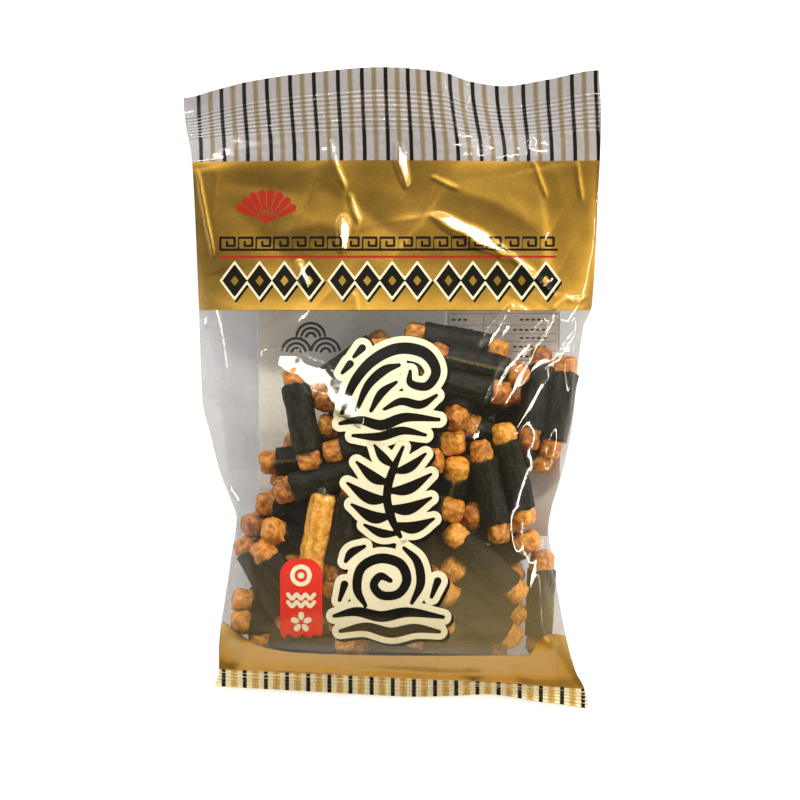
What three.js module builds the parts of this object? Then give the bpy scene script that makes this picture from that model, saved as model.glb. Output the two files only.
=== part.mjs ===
// A sealed pillow pack of rice crackers, lying on its back with the printed front up.
// It is one tube of clear film, sealed flat across both ends. The crackers have slid to the lower
// two thirds, so that end is a plump cushion with a pinched waist, and the empty header is a thin
// ribbon that waves up and down above the table.
// Millimetres, +Z up, +Y towards the header. The origin is on the table, at the middle of the pack.
import * as THREE from "three";

const { clamp, degToRad, lerp, smoothstep } = THREE.MathUtils;

// Driving dimensions. A height up the pack runs from the bottom seal's cut edge to the header's.
const LENGTH = 233;
const SEAL_THICKNESS = 0.8; // the film's layers pressed together
const BOTTOM_EDGE = { left: 6.4, right: -1.4 }; // how far its corners lie above the square line
const BOTTOM_SKEW = 40; // the height up the pack that the edge's slant dies away in
const HEADER_START = 194; // the height up the pack where the header's wave begins
const HEADER_DROOP = 18.5; // how far the header's left corner hangs below its crest
const HEADER_SETBACK = 10.5; // and how far that hanging draws its cut edge back

// The cross section, an arc that turns further the higher its crown.
const FLAT_TURN = degToRad(11);
const FULL_TURN = degToRad(80);
const PLUMP_CROWN = 16; // the crown height at which it has its full turn
const ROUNDING = 0.72; // below 1 the section is boxier than an arc
const FILM_APART = { from: 1, to: 12 }; // past this gap the front film creases without the back
const HEAP_UNDER = { from: 8, to: 17 }; // above this height crackers press against the film

// Outlines and levels, each a list of [height up the pack, value].
const LEFT_FOLD = [
  [0, -65.1], [5, -63.4], [16, -63.3], [53, -58.9], [68.5, -56.7], [75.5, -58.8],
  [83, -61.9], [97.5, -65.9], [112, -69.2], [145, -70.5], [200, -73], [222, -75.7], [233, -76.4],
];
const RIGHT_FOLD = [
  [0, 72.1], [8, 70.2], [13, 67.4], [24, 64], [38, 61.1], [53, 58.8], [64.5, 57.1], [72, 58.2],
  [83, 61.5], [101, 65.6], [138, 69.8], [146, 73], [168, 74.4], [185, 75.1], [200, 75.9],
  [216, 76.4], [233, 75.6],
];
const FOLD_LEVEL = [
  [0, 2.6], [10, 5.5], [25, 12.5], [50, 15.5], [110, 15.5], [145, 14], [200, 17], [233, 20.5],
];
const CROWN = [
  [0, 0], [9.5, 0], [13, 2.5], [22, 10.5], [34, 16], [52, 19], [85, 20.5], [112, 18.5],
  [135, 13.5], [150, 9.5], [175, 5], [200, 1.8], [213, 0.1], [233, 0],
];
const BELLY = [
  [0, 0], [9.5, 0], [13, 2], [22, 9], [34, 15], [50, 18.5], [118, 18.5], [140, 14.5],
  [160, 8.5], [185, 3.4], [213, 0.1], [233, 0],
];

// How far the header hangs, from 0 at its crest to 1, as [share of the width from the left, hang].
const HEADER_WAVE = [
  [0, 1], [0.08, 0.74], [0.16, 0.47], [0.3, 0.19], [0.48, 0], [0.62, 0.15], [0.69, 0.47],
  [0.77, 0.62], [0.87, 0.42], [1, 0.1],
];

// How far the bottom's cut edge stands in from its slant, as [share of the width, setback].
const CUT_EDGE = [
  [0, 0.4], [0.5, 0.5], [0.58, 1.1], [0.66, 2.1], [0.74, 3.1], [0.8, 2.5], [0.86, 1.5], [0.93, 0.9], [1, 0],
];
const CUT_REACH = 10; // the height up the pack that the setback dies away in

// Creases in the film: both ends, how proud the crest stands and how far its slopes reach.
const CREASE_ROUNDING = 1.2; // radius that the film keeps along a crest
const CREASE_FADE = 0.6; // below 1 a crease keeps its height nearly to its ends
const CREASES = [
  { from: [-23, 204], to: [-15, 172], proud: 1.1, reach: 6 },
  { from: [3, 206], to: [7, 178], proud: -1.2, reach: 6 },
  { from: [13, 180], to: [58, 154], proud: 1.9, reach: 9 },
  { from: [-70, 196], to: [-62, 158], proud: 1.2, reach: 7 },
  { from: [54, 200], to: [60, 150], proud: -1, reach: 7 },
  { from: [-62, 186], to: [-24, 150], proud: -1.1, reach: 10 },
  { from: [60, 142], to: [28, 96], proud: 1.8, reach: 6 },
  { from: [48, 146], to: [33, 120], proud: 1.3, reach: 5 },
  { from: [64, 128], to: [40, 94], proud: 1.5, reach: 6 },
  { from: [-46, 132], to: [-16, 106], proud: 1.6, reach: 9 },
  { from: [-63, 80], to: [-44, 70], proud: 1.3, reach: 6 },
  { from: [-57, 60], to: [-36, 26], proud: 1.2, reach: 7 },
  { from: [55, 74], to: [55, 16], proud: 1.7, reach: 5 },
  { from: [70, 4], to: [54, 30], proud: 1.6, reach: 6 },
  { from: [-62, 8], to: [-46, 26], proud: 1.5, reach: 6 },
  { from: [-20, 10], to: [-24, 24], proud: -1.1, reach: 6 },
  { from: [28, 8], to: [22, 22], proud: -1.1, reach: 6 },
];

// The crackers that press against the film, laid in a jittered grid.
const CRACKER_LENGTH = 38;
const CRACKER_RADIUS = 5.2;
const HEAP = { left: -52, right: 54, bottom: 24, top: 132, columns: 4, rows: 7 };
const HEAP_JITTER = 0.6; // how far a cracker strays within its cell of the grid
const HEAP_SEED = 7;
const LUMP_HEIGHT = 2.4; // how far a cracker lifts the film above the hollows beside it
const LUMP_REACH = 1.3; // how wide the lift is, in cracker radii

// How fine the faces are.
const COLUMNS = 40;
const ROWS = 60;

// The value at a place between stations: a cubic curve that never overshoots them.
function along(stations, place) {
  const last = stations.length - 1;
  const slope = (i) =>
    (stations[i + 1][1] - stations[i][1]) / (stations[i + 1][0] - stations[i][0]);
  const tangent = (i) => {
    if (i === 0 || i === last) return 0;
    const [before, after] = [slope(i - 1), slope(i)];
    return before * after <= 0 ? 0 : (2 * before * after) / (before + after);
  };
  let i = 0;
  while (i < last - 1 && place > stations[i + 1][0]) i += 1;
  const [start, end] = [stations[i], stations[i + 1]];
  const span = end[0] - start[0];
  const t = clamp((place - start[0]) / span, 0, 1);
  return (
    start[1] * (2 * t ** 3 - 3 * t ** 2 + 1) +
    end[1] * (3 * t ** 2 - 2 * t ** 3) +
    span * tangent(i) * (t ** 3 - 2 * t ** 2 + t) +
    span * tangent(i + 1) * (t ** 3 - t ** 2)
  );
}

// A repeatable random number from 0 to 1.
function randomFrom(seed) {
  let state = seed;
  return () => {
    state = (state * 16807) % 2147483647;
    return state / 2147483647;
  };
}

// How far a point lies from a line between two ends, and its place along it from 0 to 1.
function offLine([x, y], [x0, y0], [x1, y1]) {
  const [dx, dy] = [x1 - x0, y1 - y0];
  const t = clamp(((x - x0) * dx + (y - y0) * dy) / (dx * dx + dy * dy), 0, 1);
  return [Math.hypot(x - x0 - t * dx, y - y0 - t * dy), t];
}

// A crease: a rounded crest with slopes that die away to each side and towards both ends.
function creaseLift(point, { from, to, proud, reach }) {
  const [distance, t] = offLine(point, from, to);
  const side = Math.hypot(distance, CREASE_ROUNDING) - CREASE_ROUNDING;
  return proud * Math.exp(-side / reach) * Math.sin(Math.PI * t) ** CREASE_FADE;
}

// The middle lines of the crackers under the film, each from the centre of one round end to the other.
function layCrackers() {
  const random = randomFrom(HEAP_SEED);
  const strayed = (cell) => cell + 0.5 + HEAP_JITTER * (random() - 0.5);
  const half = CRACKER_LENGTH / 2 - CRACKER_RADIUS;
  return Array.from({ length: HEAP.rows * HEAP.columns }, (_, i) => {
    const x = lerp(HEAP.left, HEAP.right, strayed(i % HEAP.columns) / HEAP.columns);
    const y = lerp(HEAP.bottom, HEAP.top, strayed(Math.floor(i / HEAP.columns)) / HEAP.rows);
    const heading = Math.PI * random();
    const [dx, dy] = [half * Math.cos(heading), half * Math.sin(heading)];
    return [[x - dx, y - dy], [x + dx, y + dy]];
  });
}

const crackers = layCrackers();

// How far the nearest cracker lifts the film at a point.
function crackerLift(point) {
  const nearest = Math.min(...crackers.map(([from, to]) => offLine(point, from, to)[0]));
  return LUMP_HEIGHT * Math.exp(-((nearest / (LUMP_REACH * CRACKER_RADIUS)) ** 2));
}

// The front and back film at a share of the width and a height up the pack.
function filmAt(across, up) {
  const crown = along(CROWN, up);
  const belly = along(BELLY, up);
  const turn = lerp(FLAT_TURN, FULL_TURN, smoothstep(crown, 0, PLUMP_CROWN));
  const angle = turn * (2 * across - 1);
  const arc = Math.max((Math.cos(angle) - Math.cos(turn)) / (1 - Math.cos(turn)), 0);
  const bulge = arc ** ROUNDING;

  const hang = along(HEADER_WAVE, across) * smoothstep(up, HEADER_START, LENGTH);
  const skew =
    lerp(BOTTOM_EDGE.left, BOTTOM_EDGE.right, across) * smoothstep(-up, -BOTTOM_SKEW, 0) +
    along(CUT_EDGE, across) * smoothstep(-up, -CUT_REACH, 0);
  const share = 0.5 + (0.5 * Math.sin(angle)) / Math.sin(turn);
  const x = lerp(along(LEFT_FOLD, up), along(RIGHT_FOLD, up), share);
  const y = up + skew - HEADER_SETBACK * hang;

  const apart = smoothstep((crown + belly) * bulge, FILM_APART.from, FILM_APART.to);
  const heaped = smoothstep(crown * bulge, HEAP_UNDER.from, HEAP_UNDER.to);
  const creased = CREASES.reduce((sum, crease) => sum + creaseLift([x, y], crease), 0);
  const level = along(FOLD_LEVEL, up) - HEADER_DROOP * hang + creased * (1 - apart);
  const front = level + SEAL_THICKNESS / 2 + crown * bulge + creased * apart;
  const back = level - SEAL_THICKNESS / 2 - belly * bulge;
  return {
    front: [x, y, front + crackerLift([x, y]) * heaped],
    back: [x, y, Math.max(back, 0)],
  };
}

// The pack as one closed skin: rings of points round the tube, and a strip across each cut edge.
function packGeometry() {
  const points = [];
  const faces = [];
  const ring = 2 * (COLUMNS + 1);
  for (let row = 0; row <= ROWS; row += 1) {
    const up = (LENGTH * row) / ROWS;
    const skin = Array.from({ length: COLUMNS + 1 }, (_, i) => filmAt(i / COLUMNS, up));
    points.push(...skin.map((p) => p.front), ...skin.reverse().map((p) => p.back));
  }
  for (let row = 0; row < ROWS; row += 1) {
    for (let i = 0; i < ring; i += 1) {
      const [a, b] = [row * ring + i, row * ring + ((i + 1) % ring)];
      faces.push(a, b, b + ring, a, b + ring, a + ring);
    }
  }
  const top = ROWS * ring;
  for (let i = 0; i < COLUMNS; i += 1) {
    const [front, back] = [i, ring - 1 - i];
    faces.push(front, back, back - 1, front, back - 1, front + 1);
    faces.push(top + front, top + back - 1, top + back, top + front, top + front + 1, top + back - 1);
  }
  const geometry = new THREE.BufferGeometry();
  geometry.setAttribute("position", new THREE.Float32BufferAttribute(points.flat(), 3));
  geometry.setIndex(faces);
  geometry.computeBoundingBox();
  const middle = geometry.boundingBox.getCenter(new THREE.Vector3());
  geometry.translate(-middle.x, -middle.y, 0);
  geometry.computeVertexNormals();
  return geometry;
}

const film = new THREE.MeshStandardMaterial({ color: 0xc9c6c0, roughness: 0.12, metalness: 0 });
const pack = new THREE.Mesh(packGeometry(), film);
pack.name = "pack";

const part = new THREE.Group();
part.add(pack);

export default part;
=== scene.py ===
"""A sealed pillow pack of seaweed-wrapped rice crackers, lying on its back with the front up.

Clear film is printed on its inside with a gold band, pinstripes and brushwork, and a heap of
soy-glazed cracker sticks shows through its window. Sizes are in millimetres where no comment
says otherwise.
"""

import math

import bpy
import numpy as np
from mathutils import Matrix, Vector


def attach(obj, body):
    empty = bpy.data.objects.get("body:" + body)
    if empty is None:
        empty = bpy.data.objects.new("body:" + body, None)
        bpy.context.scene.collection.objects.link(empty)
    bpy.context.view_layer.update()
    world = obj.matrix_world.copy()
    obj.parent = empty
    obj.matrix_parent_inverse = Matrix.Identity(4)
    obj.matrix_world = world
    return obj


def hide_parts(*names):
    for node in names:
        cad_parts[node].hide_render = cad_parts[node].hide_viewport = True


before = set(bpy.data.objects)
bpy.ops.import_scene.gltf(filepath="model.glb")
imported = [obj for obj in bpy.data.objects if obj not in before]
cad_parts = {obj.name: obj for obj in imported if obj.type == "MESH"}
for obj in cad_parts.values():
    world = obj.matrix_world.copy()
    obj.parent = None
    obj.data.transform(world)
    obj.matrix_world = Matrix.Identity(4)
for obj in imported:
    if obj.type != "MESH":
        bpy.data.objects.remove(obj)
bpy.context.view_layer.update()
MM = 0.001


# ---------------------------------------------------------------- the pack's form
# A place in the sheet is a share of the width, from the left fold to the right, and a height up
# the pack, from the bottom seal's cut edge to the header's.
LENGTH = 233
BOTTOM_EDGE = (6.4, -1.4)  # how far its left and right corners lie above the square line
BOTTOM_SKEW = 40  # height over which that skew dies away
HEADER_START = 194  # height from which the header droops
HEADER_DROOP = 18.5  # how far its lowest corner hangs
HEADER_SETBACK = 10.5  # how far the droop draws that corner in
MIDDLE_UP = (LENGTH + BOTTOM_EDGE[1]) / 2  # the height up the pack of the frame's origin

# A cross-section is an arc: half its turn where the pack is flat and where it is full, the crown
# from which it counts as full, and a power under 1 that squares its shoulders.
FLAT_TURN = math.radians(11)
FULL_TURN = math.radians(80)
PLUMP_CROWN = 16
ROUNDING = 0.72
FILM_APART = (1, 12)  # thickness over which the two films part, so that each creases on its own

# By height up the pack: where the side folds run, how high they lie, and how far the front and
# the back stand off that level in the middle.
LEFT_FOLD = [
    (0, -65.1), (5, -63.4), (16, -63.3), (53, -58.9), (68.5, -56.7), (75.5, -58.8), (83, -61.9),
    (97.5, -65.9), (112, -69.2), (145, -70.5), (200, -73), (222, -75.7), (233, -76.4),
]
RIGHT_FOLD = [
    (0, 72.1), (8, 70.2), (13, 67.4), (24, 64), (38, 61.1), (53, 58.8), (64.5, 57.1), (72, 58.2),
    (83, 61.5), (101, 65.6), (138, 69.8), (146, 73), (168, 74.4), (185, 75.1), (200, 75.9),
    (216, 76.4), (233, 75.6),
]
FOLD_LEVEL = [
    (0, 2.6), (10, 5.5), (25, 12.5), (50, 15.5), (110, 15.5), (145, 14), (200, 17), (233, 20.5),
]
CROWN = [
    (0, 0), (9.5, 0), (13, 2.5), (22, 10.5), (34, 16), (52, 19), (85, 20.5), (112, 18.5),
    (135, 13.5), (150, 9.5), (175, 5), (200, 1.8), (213, 0.1), (233, 0),
]
BELLY = [
    (0, 0), (9.5, 0), (13, 2), (22, 9), (34, 15), (50, 18.5), (118, 18.5), (140, 14.5),
    (160, 8.5), (185, 3.4), (213, 0.1), (233, 0),
]
# By share of the width: how much the header hangs, and how far the bottom's cut edge steps back.
HEADER_WAVE = [
    (0, 1), (0.08, 0.74), (0.16, 0.47), (0.3, 0.19), (0.48, 0), (0.62, 0.15), (0.69, 0.47),
    (0.77, 0.62), (0.87, 0.42), (1, 0.1),
]
CUT_EDGE = [
    (0, 0.4), (0.5, 0.5), (0.58, 1.1), (0.66, 2.1), (0.74, 3.1), (0.8, 2.5), (0.86, 1.5),
    (0.93, 0.9), (1, 0),
]
CUT_REACH = 10  # height over which that step dies away
PLACING_ROUNDS = 10  # enough to find a place in the sheet from a plan position


def along(stations, place):
    """The value at a place between stations: a cubic curve that never overshoots them."""
    at, value = np.array(stations, float).T
    place = np.clip(place, at[0], at[-1])
    span = np.diff(at)
    slope = np.diff(value) / span
    before, after = slope[:-1], slope[1:]
    total = np.where(before * after > 0, before + after, 1)
    turn = np.where(before * after > 0, 2 * before * after / total, 0)
    tangent = np.concatenate([[0], turn, [0]])
    i = np.clip(np.searchsorted(at, place, side="left") - 1, 0, len(span) - 1)
    t = (place - at[i]) / span[i]
    return (
        value[i] * (2 * t**3 - 3 * t**2 + 1)
        + value[i + 1] * (3 * t**2 - 2 * t**3)
        + span[i] * tangent[i] * (t**3 - 2 * t**2 + t)
        + span[i] * tangent[i + 1] * (t**3 - t**2)
    )


def ease(value, low, high):
    """0 below low, 1 above high and a smooth step between."""
    t = np.clip((value - low) / (high - low), 0, 1)
    return t * t * (3 - 2 * t)


def section_turn(up):
    """Half the turn of the arc that a cross-section makes, wider where the pack is plump."""
    return FLAT_TURN + (FULL_TURN - FLAT_TURN) * ease(along(CROWN, up), 0, PLUMP_CROWN)


def strays(across, up):
    """How far a place in the sheet lies from its own height up the pack, by droop and by skew."""
    hang = along(HEADER_WAVE, across) * ease(up, HEADER_START, LENGTH)
    skew = (BOTTOM_EDGE[0] + (BOTTOM_EDGE[1] - BOTTOM_EDGE[0]) * across) * ease(-up, -BOTTOM_SKEW, 0)
    return hang, skew + along(CUT_EDGE, across) * ease(-up, -CUT_REACH, 0)


def form_at(across, up):
    """The smooth form: plan position, fold level, and how high the front and back stand off it."""
    turn = section_turn(up)
    angle = turn * (2 * across - 1)
    arc = np.maximum((np.cos(angle) - np.cos(turn)) / (1 - np.cos(turn)), 0)
    bulge = arc**ROUNDING
    hang, skew = strays(across, up)
    share = 0.5 + 0.5 * np.sin(angle) / np.sin(turn)
    left, right = along(LEFT_FOLD, up), along(RIGHT_FOLD, up)
    x = left + (right - left) * share
    y = up + skew - HEADER_SETBACK * hang - MIDDLE_UP
    level = along(FOLD_LEVEL, up) - HEADER_DROOP * hang
    return x, y, level, along(CROWN, up) * bulge, along(BELLY, up) * bulge


def across_at(x, up):
    """The share of the width at a plan distance from the middle, at a height up the pack."""
    turn = section_turn(up)
    left, right = along(LEFT_FOLD, up), along(RIGHT_FOLD, up)
    share = (x - left) / (right - left)
    angle = np.arcsin(np.clip((2 * share - 1) * np.sin(turn), -1, 1))
    return np.clip((angle / turn + 1) / 2, 0, 1)


def sheet_place(x, y):
    """The place in the sheet at a plan position."""
    up = y + MIDDLE_UP
    for _ in range(PLACING_ROUNDS):
        across = across_at(x, up)
        hang, skew = strays(across, up)
        up = np.clip(y + MIDDLE_UP + HEADER_SETBACK * hang - skew, 0, LENGTH)
    return across_at(x, up), up


# ---------------------------------------------------------------- the cracker sticks
STICK_LENGTH = 38.5
STICK_RADIUS = 4.7
NORI_SHARE = 0.64  # of the stick's length
NORI_LIFT = 0.38  # how far the wrap stands off the stick
AXIS_LENGTH = STICK_LENGTH - 2 * STICK_RADIUS
PACK_RADIUS = 5.15  # what a wrapped stick takes up among the others
BACK_CLEARANCE = 5.8  # from a stick's axis to the back

# The sticks that show, each by the plan position of one end, the heading from that end to the
# other, how steeply it dips below the film, and how deep it lies under it.
SHOWN = [
    # the upper right
    ((9.1, 19.6), -11, 0, 5), ((16.4, 10.1), -10, 0, 0), ((38.3, -2.6), 165, 0, 4),
    ((63.0, 6.8), -103, 0, 1), ((55.1, 12.6), -100, 0, 4), ((25.2, -8.9), 75, 50, 0),
    ((20.1, -16.5), 200, 22, 1), ((15.0, -24.6), 190, 18, 2), ((57.0, -22.4), 160, 0, 8),
    # the big pair at the right
    ((33.2, -23.1), -80, 0, 0), ((47.5, -45.4), 101, 0, 1), ((22.3, -30.0), -100, 32, 1),
    ((19.3, -42.6), 172, 10, 1), ((23.7, -53.4), -47, 0, 0), ((48.4, -58.1), 205, 42, 1),
    # the lower right
    ((23.0, -65.8), -37, 0, 5), ((18.6, -74.2), -38.5, 0, 1), ((13.1, -69.1), 165, 10, 4),
    ((9.5, -95.2), -3, 0, 0), ((55.1, -68.4), -87, 0, 0), ((-10.9, -94.6), -2, 0, 4),
    # the left
    ((-34.3, 1.6), -79.5, 0, 0), ((-42.7, -27.1), -2, 0, 9), ((-19.3, -27.1), 18, 5, 1),
    ((-38.0, -38.1), 10, 0, 1), ((-45.3, -46.1), -3, 0, 5), ((-41.6, -53.0), -25, 48, 1),
    ((-48.5, -54.1), 5, 36, 4), ((-54.8, -57.4), -65, 0, 3), ((-47.1, -60.3), -44.5, 0, 0),
    ((-21.2, -61.4), 75, 0, 3), ((-10.2, -55.6), 80, 20, 3), ((-17.9, -91.0), 178, 0, 0),
    ((-52.9, -79.3), -12, 24, 3), ((-24.1, -85.0), 105, 10, 4), ((-55.5, -86.6), -5, 0, 3),
    ((-28.5, 4.2), 35, 10, 6), ((-23.7, -4.9), -15, 10, 3), ((-21.9, -13.2), -8, 12, 4),
]
SEAMS_UP = (1, 11, 22)  # those whose glued seam faces up
# The few that are plain, without seaweed.
PLAIN = [((-25.2, -44.8), -106.5, 0, 0)]

# No stick's axis passes this line over the plan.
HEAP_TOP = [(-57, -44), (-46, -22), (-37, 6), (8, 20.5), (40, 15), (52, 12.6), (66, 9)]
# The loose sticks stay below a line of their own and between two sides.
LOOSE_TOP = [(-57, -75), (-46, -48), (-37, -22), (-20, -8), (8, 9), (40, 9), (52, 1), (66, -6)]
LOOSE_SIDES = (-50, 45)
LOOSE_STICKS = 46
LOOSE_START = ((-46, 54), (-90, 2), (6, 20))  # where their middles start, by x, y and z
LOOSE_TIP = 0.2  # how steeply they may start
RANDOM_SEED = 11

PACKING_STEPS = 420
LAST_STEPS = 80  # in which the sticks that show are pulled back by less
PULL = 0.25
LAST_PULL = 0.1
HELD_YIELDING = 0.06  # how far a stick that shows gives way, where a loose one counts as 1
SINKING = 0.03  # how far the loose ones sink at each step
PROBES = (-0.08, 0, 0.25, 0.5, 0.75, 1, 1.08)  # shares along an axis that are kept inside the form
WALL_PUSH = 0.6  # the share of an overlap that one step takes back at the form
LINE_PUSH = 0.3  # and at the lines over the plan
GRID = 2.0
GRID_REACH = (78, 118)


def form_heights(x, y):
    """The smooth form's front and back heights over plan positions."""
    across, up = sheet_place(x, y)
    _, _, level, rise, fall = form_at(across, up)
    return level + rise, np.maximum(level - fall, 0)


def lay(placed):
    """The two ends of each stick's axis, laid under the smooth front."""
    ends = []
    for (x, y), heading, dip, depth in placed:
        reach = AXIS_LENGTH * math.cos(math.radians(dip))
        turn = math.radians(heading)
        far = (x + reach * math.cos(turn), y + reach * math.sin(turn))
        plan = np.array([(x, y), far])
        front, back = form_heights(plan[:, 0], plan[:, 1])
        z = front - PACK_RADIUS - depth - np.array([0, AXIS_LENGTH * math.sin(math.radians(dip))])
        ends.append(np.column_stack([plan, np.maximum(z, back + PACK_RADIUS)]))
    return np.array(ends)


def scatter(count, random):
    """Loose sticks for the layers that don't show, spread through the heap."""
    x_range, y_range, z_range = LOOSE_START
    x = random.uniform(*x_range, count)
    y = random.uniform(*y_range, count)
    turn = random.uniform(0, 2 * math.pi, count)
    tip = random.uniform(-LOOSE_TIP, LOOSE_TIP, count)
    step = 0.5 * AXIS_LENGTH * np.column_stack([np.cos(turn), np.sin(turn), tip])
    z = random.uniform(*z_range, count)
    middle = np.column_stack([x, y, z])
    return np.stack([middle - step, middle + step], axis=1)


def closest(a, b, c, d):
    """The shares along segments a-b and c-d where they come closest."""
    u, v, w = b - a, d - c, a - c
    uu, vv = np.sum(u * u, 1), np.sum(v * v, 1)
    uv, uw, vw = np.sum(u * v, 1), np.sum(u * w, 1), np.sum(v * w, 1)
    s = np.clip((uv * vw - vv * uw) / np.maximum(uu * vv - uv**2, 1e-6), 0, 1)
    t = np.clip((uv * s + vw) / vv, 0, 1)
    s = np.clip((uv * t - uw) / uu, 0, 1)
    return s, t


def container():
    """The smooth form's heights on a plan grid, so that the packing can look them up."""
    reach_x, reach_y = GRID_REACH
    xs = np.arange(-reach_x, reach_x + 1, GRID)
    ys = np.arange(-reach_y, reach_y + 1, GRID)
    gx, gy = np.meshgrid(xs, ys, indexing="ij")
    front, back = form_heights(gx, gy)
    slopes = [np.gradient(height, GRID) for height in (front, back)]

    def look_up(x, y):
        """The front's and the back's height at plan positions, each with its two slopes."""
        i = np.clip(((x - xs[0]) / GRID).astype(int), 0, len(xs) - 1)
        j = np.clip(((y - ys[0]) / GRID).astype(int), 0, len(ys) - 1)
        made = []
        for height, (dx, dy) in zip((front, back), slopes):
            at = height[i, j] + dx[i, j] * (x - gx[i, j]) + dy[i, j] * (y - gy[i, j])
            made.append((at, dx[i, j], dy[i, j]))
        return made

    return look_up


def push_apart(ends, one, two, share_one):
    """Moves the sticks of each overlapping pair off each other, in place."""
    s, t = closest(ends[one, 0], ends[one, 1], ends[two, 0], ends[two, 1])
    s, t = s[:, None], t[:, None]
    gap = ends[one, 0] * (1 - s) + ends[one, 1] * s - ends[two, 0] * (1 - t) - ends[two, 1] * t
    apart = np.linalg.norm(gap, axis=1, keepdims=True)
    push = np.maximum(2 * PACK_RADIUS - apart, 0) * 0.5 * gap / np.maximum(apart, 1e-3)
    for index, share, where, sign in ((one, share_one, s, 1), (two, 1 - share_one, t, -1)):
        move = sign * push * share
        np.add.at(ends, (index, 0), move * (1 - where))
        np.add.at(ends, (index, 1), move * where)


def keep_inside(ends, held, look_up):
    """Moves the sticks back inside the form and behind their lines, in place."""
    for share in PROBES:
        point = ends[:, 0] * (1 - share) + ends[:, 1] * share
        (front, fx, fy), (back, bx, by) = look_up(point[:, 0], point[:, 1])
        for height, dx, dy, side, room in (
            (front, fx, fy, 1, PACK_RADIUS), (back, bx, by, -1, BACK_CLEARANCE),
        ):
            steep = np.sqrt(1 + dx**2 + dy**2)
            over = np.maximum(side * (point[:, 2] - height) / steep + room, 0)
            normal = np.column_stack([-dx, -dy, np.ones(len(dx))]) / steep[:, None]
            move = -side * over[:, None] * normal * WALL_PUSH
            ends[:, 0] += move * (1 - share)
            ends[:, 1] += move * share
        top = np.where(held, *(np.interp(point[:, 0], *zip(*line)) for line in (HEAP_TOP, LOOSE_TOP)))
        ends[:, :, 1] -= (LINE_PUSH * np.maximum(point[:, 1] - top, 0))[:, None]
        outside = point[:, 0] - np.clip(point[:, 0], *LOOSE_SIDES)
        ends[:, :, 0] -= (LINE_PUSH * outside * ~held)[:, None]


def pack(ends, held):
    """Packs the loose sticks round those that show, which keep close to their places."""
    look_up = container()
    start = ends.copy()
    one, two = np.triu_indices(len(ends), 1)
    yielding = np.where(held, HELD_YIELDING, 1.0)
    share_one = (yielding[one] / (yielding[one] + yielding[two]))[:, None]
    for step in range(PACKING_STEPS):
        ends[~held, :, 2] -= SINKING
        pull = PULL if step < PACKING_STEPS - LAST_STEPS else LAST_PULL
        ends[held] += pull * (start[held] - ends[held])
        push_apart(ends, one, two, share_one)
        keep_inside(ends, held, look_up)
        middle = ends.mean(1, keepdims=True)
        half = ends - middle
        length = np.linalg.norm(half[:, 1] - half[:, 0], axis=1)[:, None, None]
        ends = middle + half * AXIS_LENGTH / length
    return ends


random = np.random.default_rng(RANDOM_SEED)
laid = np.concatenate([lay(SHOWN), lay(PLAIN), scatter(LOOSE_STICKS, random)])
held_in_place = np.arange(len(laid)) < len(SHOWN) + len(PLAIN)
axes = pack(laid, held_in_place)


def is_plain(index):
    """Whether a stick has no seaweed. These come after the wrapped ones that show."""
    return len(SHOWN) <= index < len(SHOWN) + len(PLAIN)


def ripple(points, wavelength, rng, waves=14):
    """A smooth random field over points, near -1 to 1, made of waves that run every way."""
    points = np.asarray(points, float)
    total = 0
    for _ in range(waves):
        way = rng.normal(size=points.shape[-1])
        way *= 2 * math.pi / (wavelength * rng.uniform(0.7, 1.4) * np.linalg.norm(way))
        total = total + np.sin(points @ way + rng.uniform(0, 2 * math.pi))
    return total / math.sqrt(waves / 2)


def tube_faces(rows, around, closed_ends):
    """Quads round a tube of rings, and fans to the two pole points where its ends close."""
    faces = []
    for i in range(rows - 1):
        for j in range(around):
            k = (j + 1) % around
            faces.append((i * around + j, (i + 1) * around + j, (i + 1) * around + k, i * around + k))
    if closed_ends:
        first, last = rows * around, rows * around + 1
        for j in range(around):
            k = (j + 1) % around
            faces.append((first, j, k))
            faces.append((last, (rows - 1) * around + k, (rows - 1) * around + j))
    return faces


SQUARE_ENDS = (17, 40)  # how squarely a wrapped and a plain stick are cut
END_ROUNDING = 0.36
BARE_SHARE = 0.97  # of the full radius, before the relief
PLAIN_PLUMPNESS = 1.1
WRAPPED_PLUMPNESS = (0.9, 1.0)
WRAP_SQUEEZE = 0.7  # how much lower its surface lies where its wrap hides it
SWELL_SIZE, GRANULE_SIZE, GRAIN_SIZE = 6, 2.8, 1.6  # the waves of the puffed surface
SWELL_HEIGHT, RELIEF_HEIGHT = 0.2, 0.24


def stick_radius(u, plain):
    """The bare stick's radius at a share of its half length: a barrel with cut, blunt ends."""
    ends = (1 - np.abs(u) ** SQUARE_ENDS[plain]) ** END_ROUNDING
    return STICK_RADIUS * ends * BARE_SHARE


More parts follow.
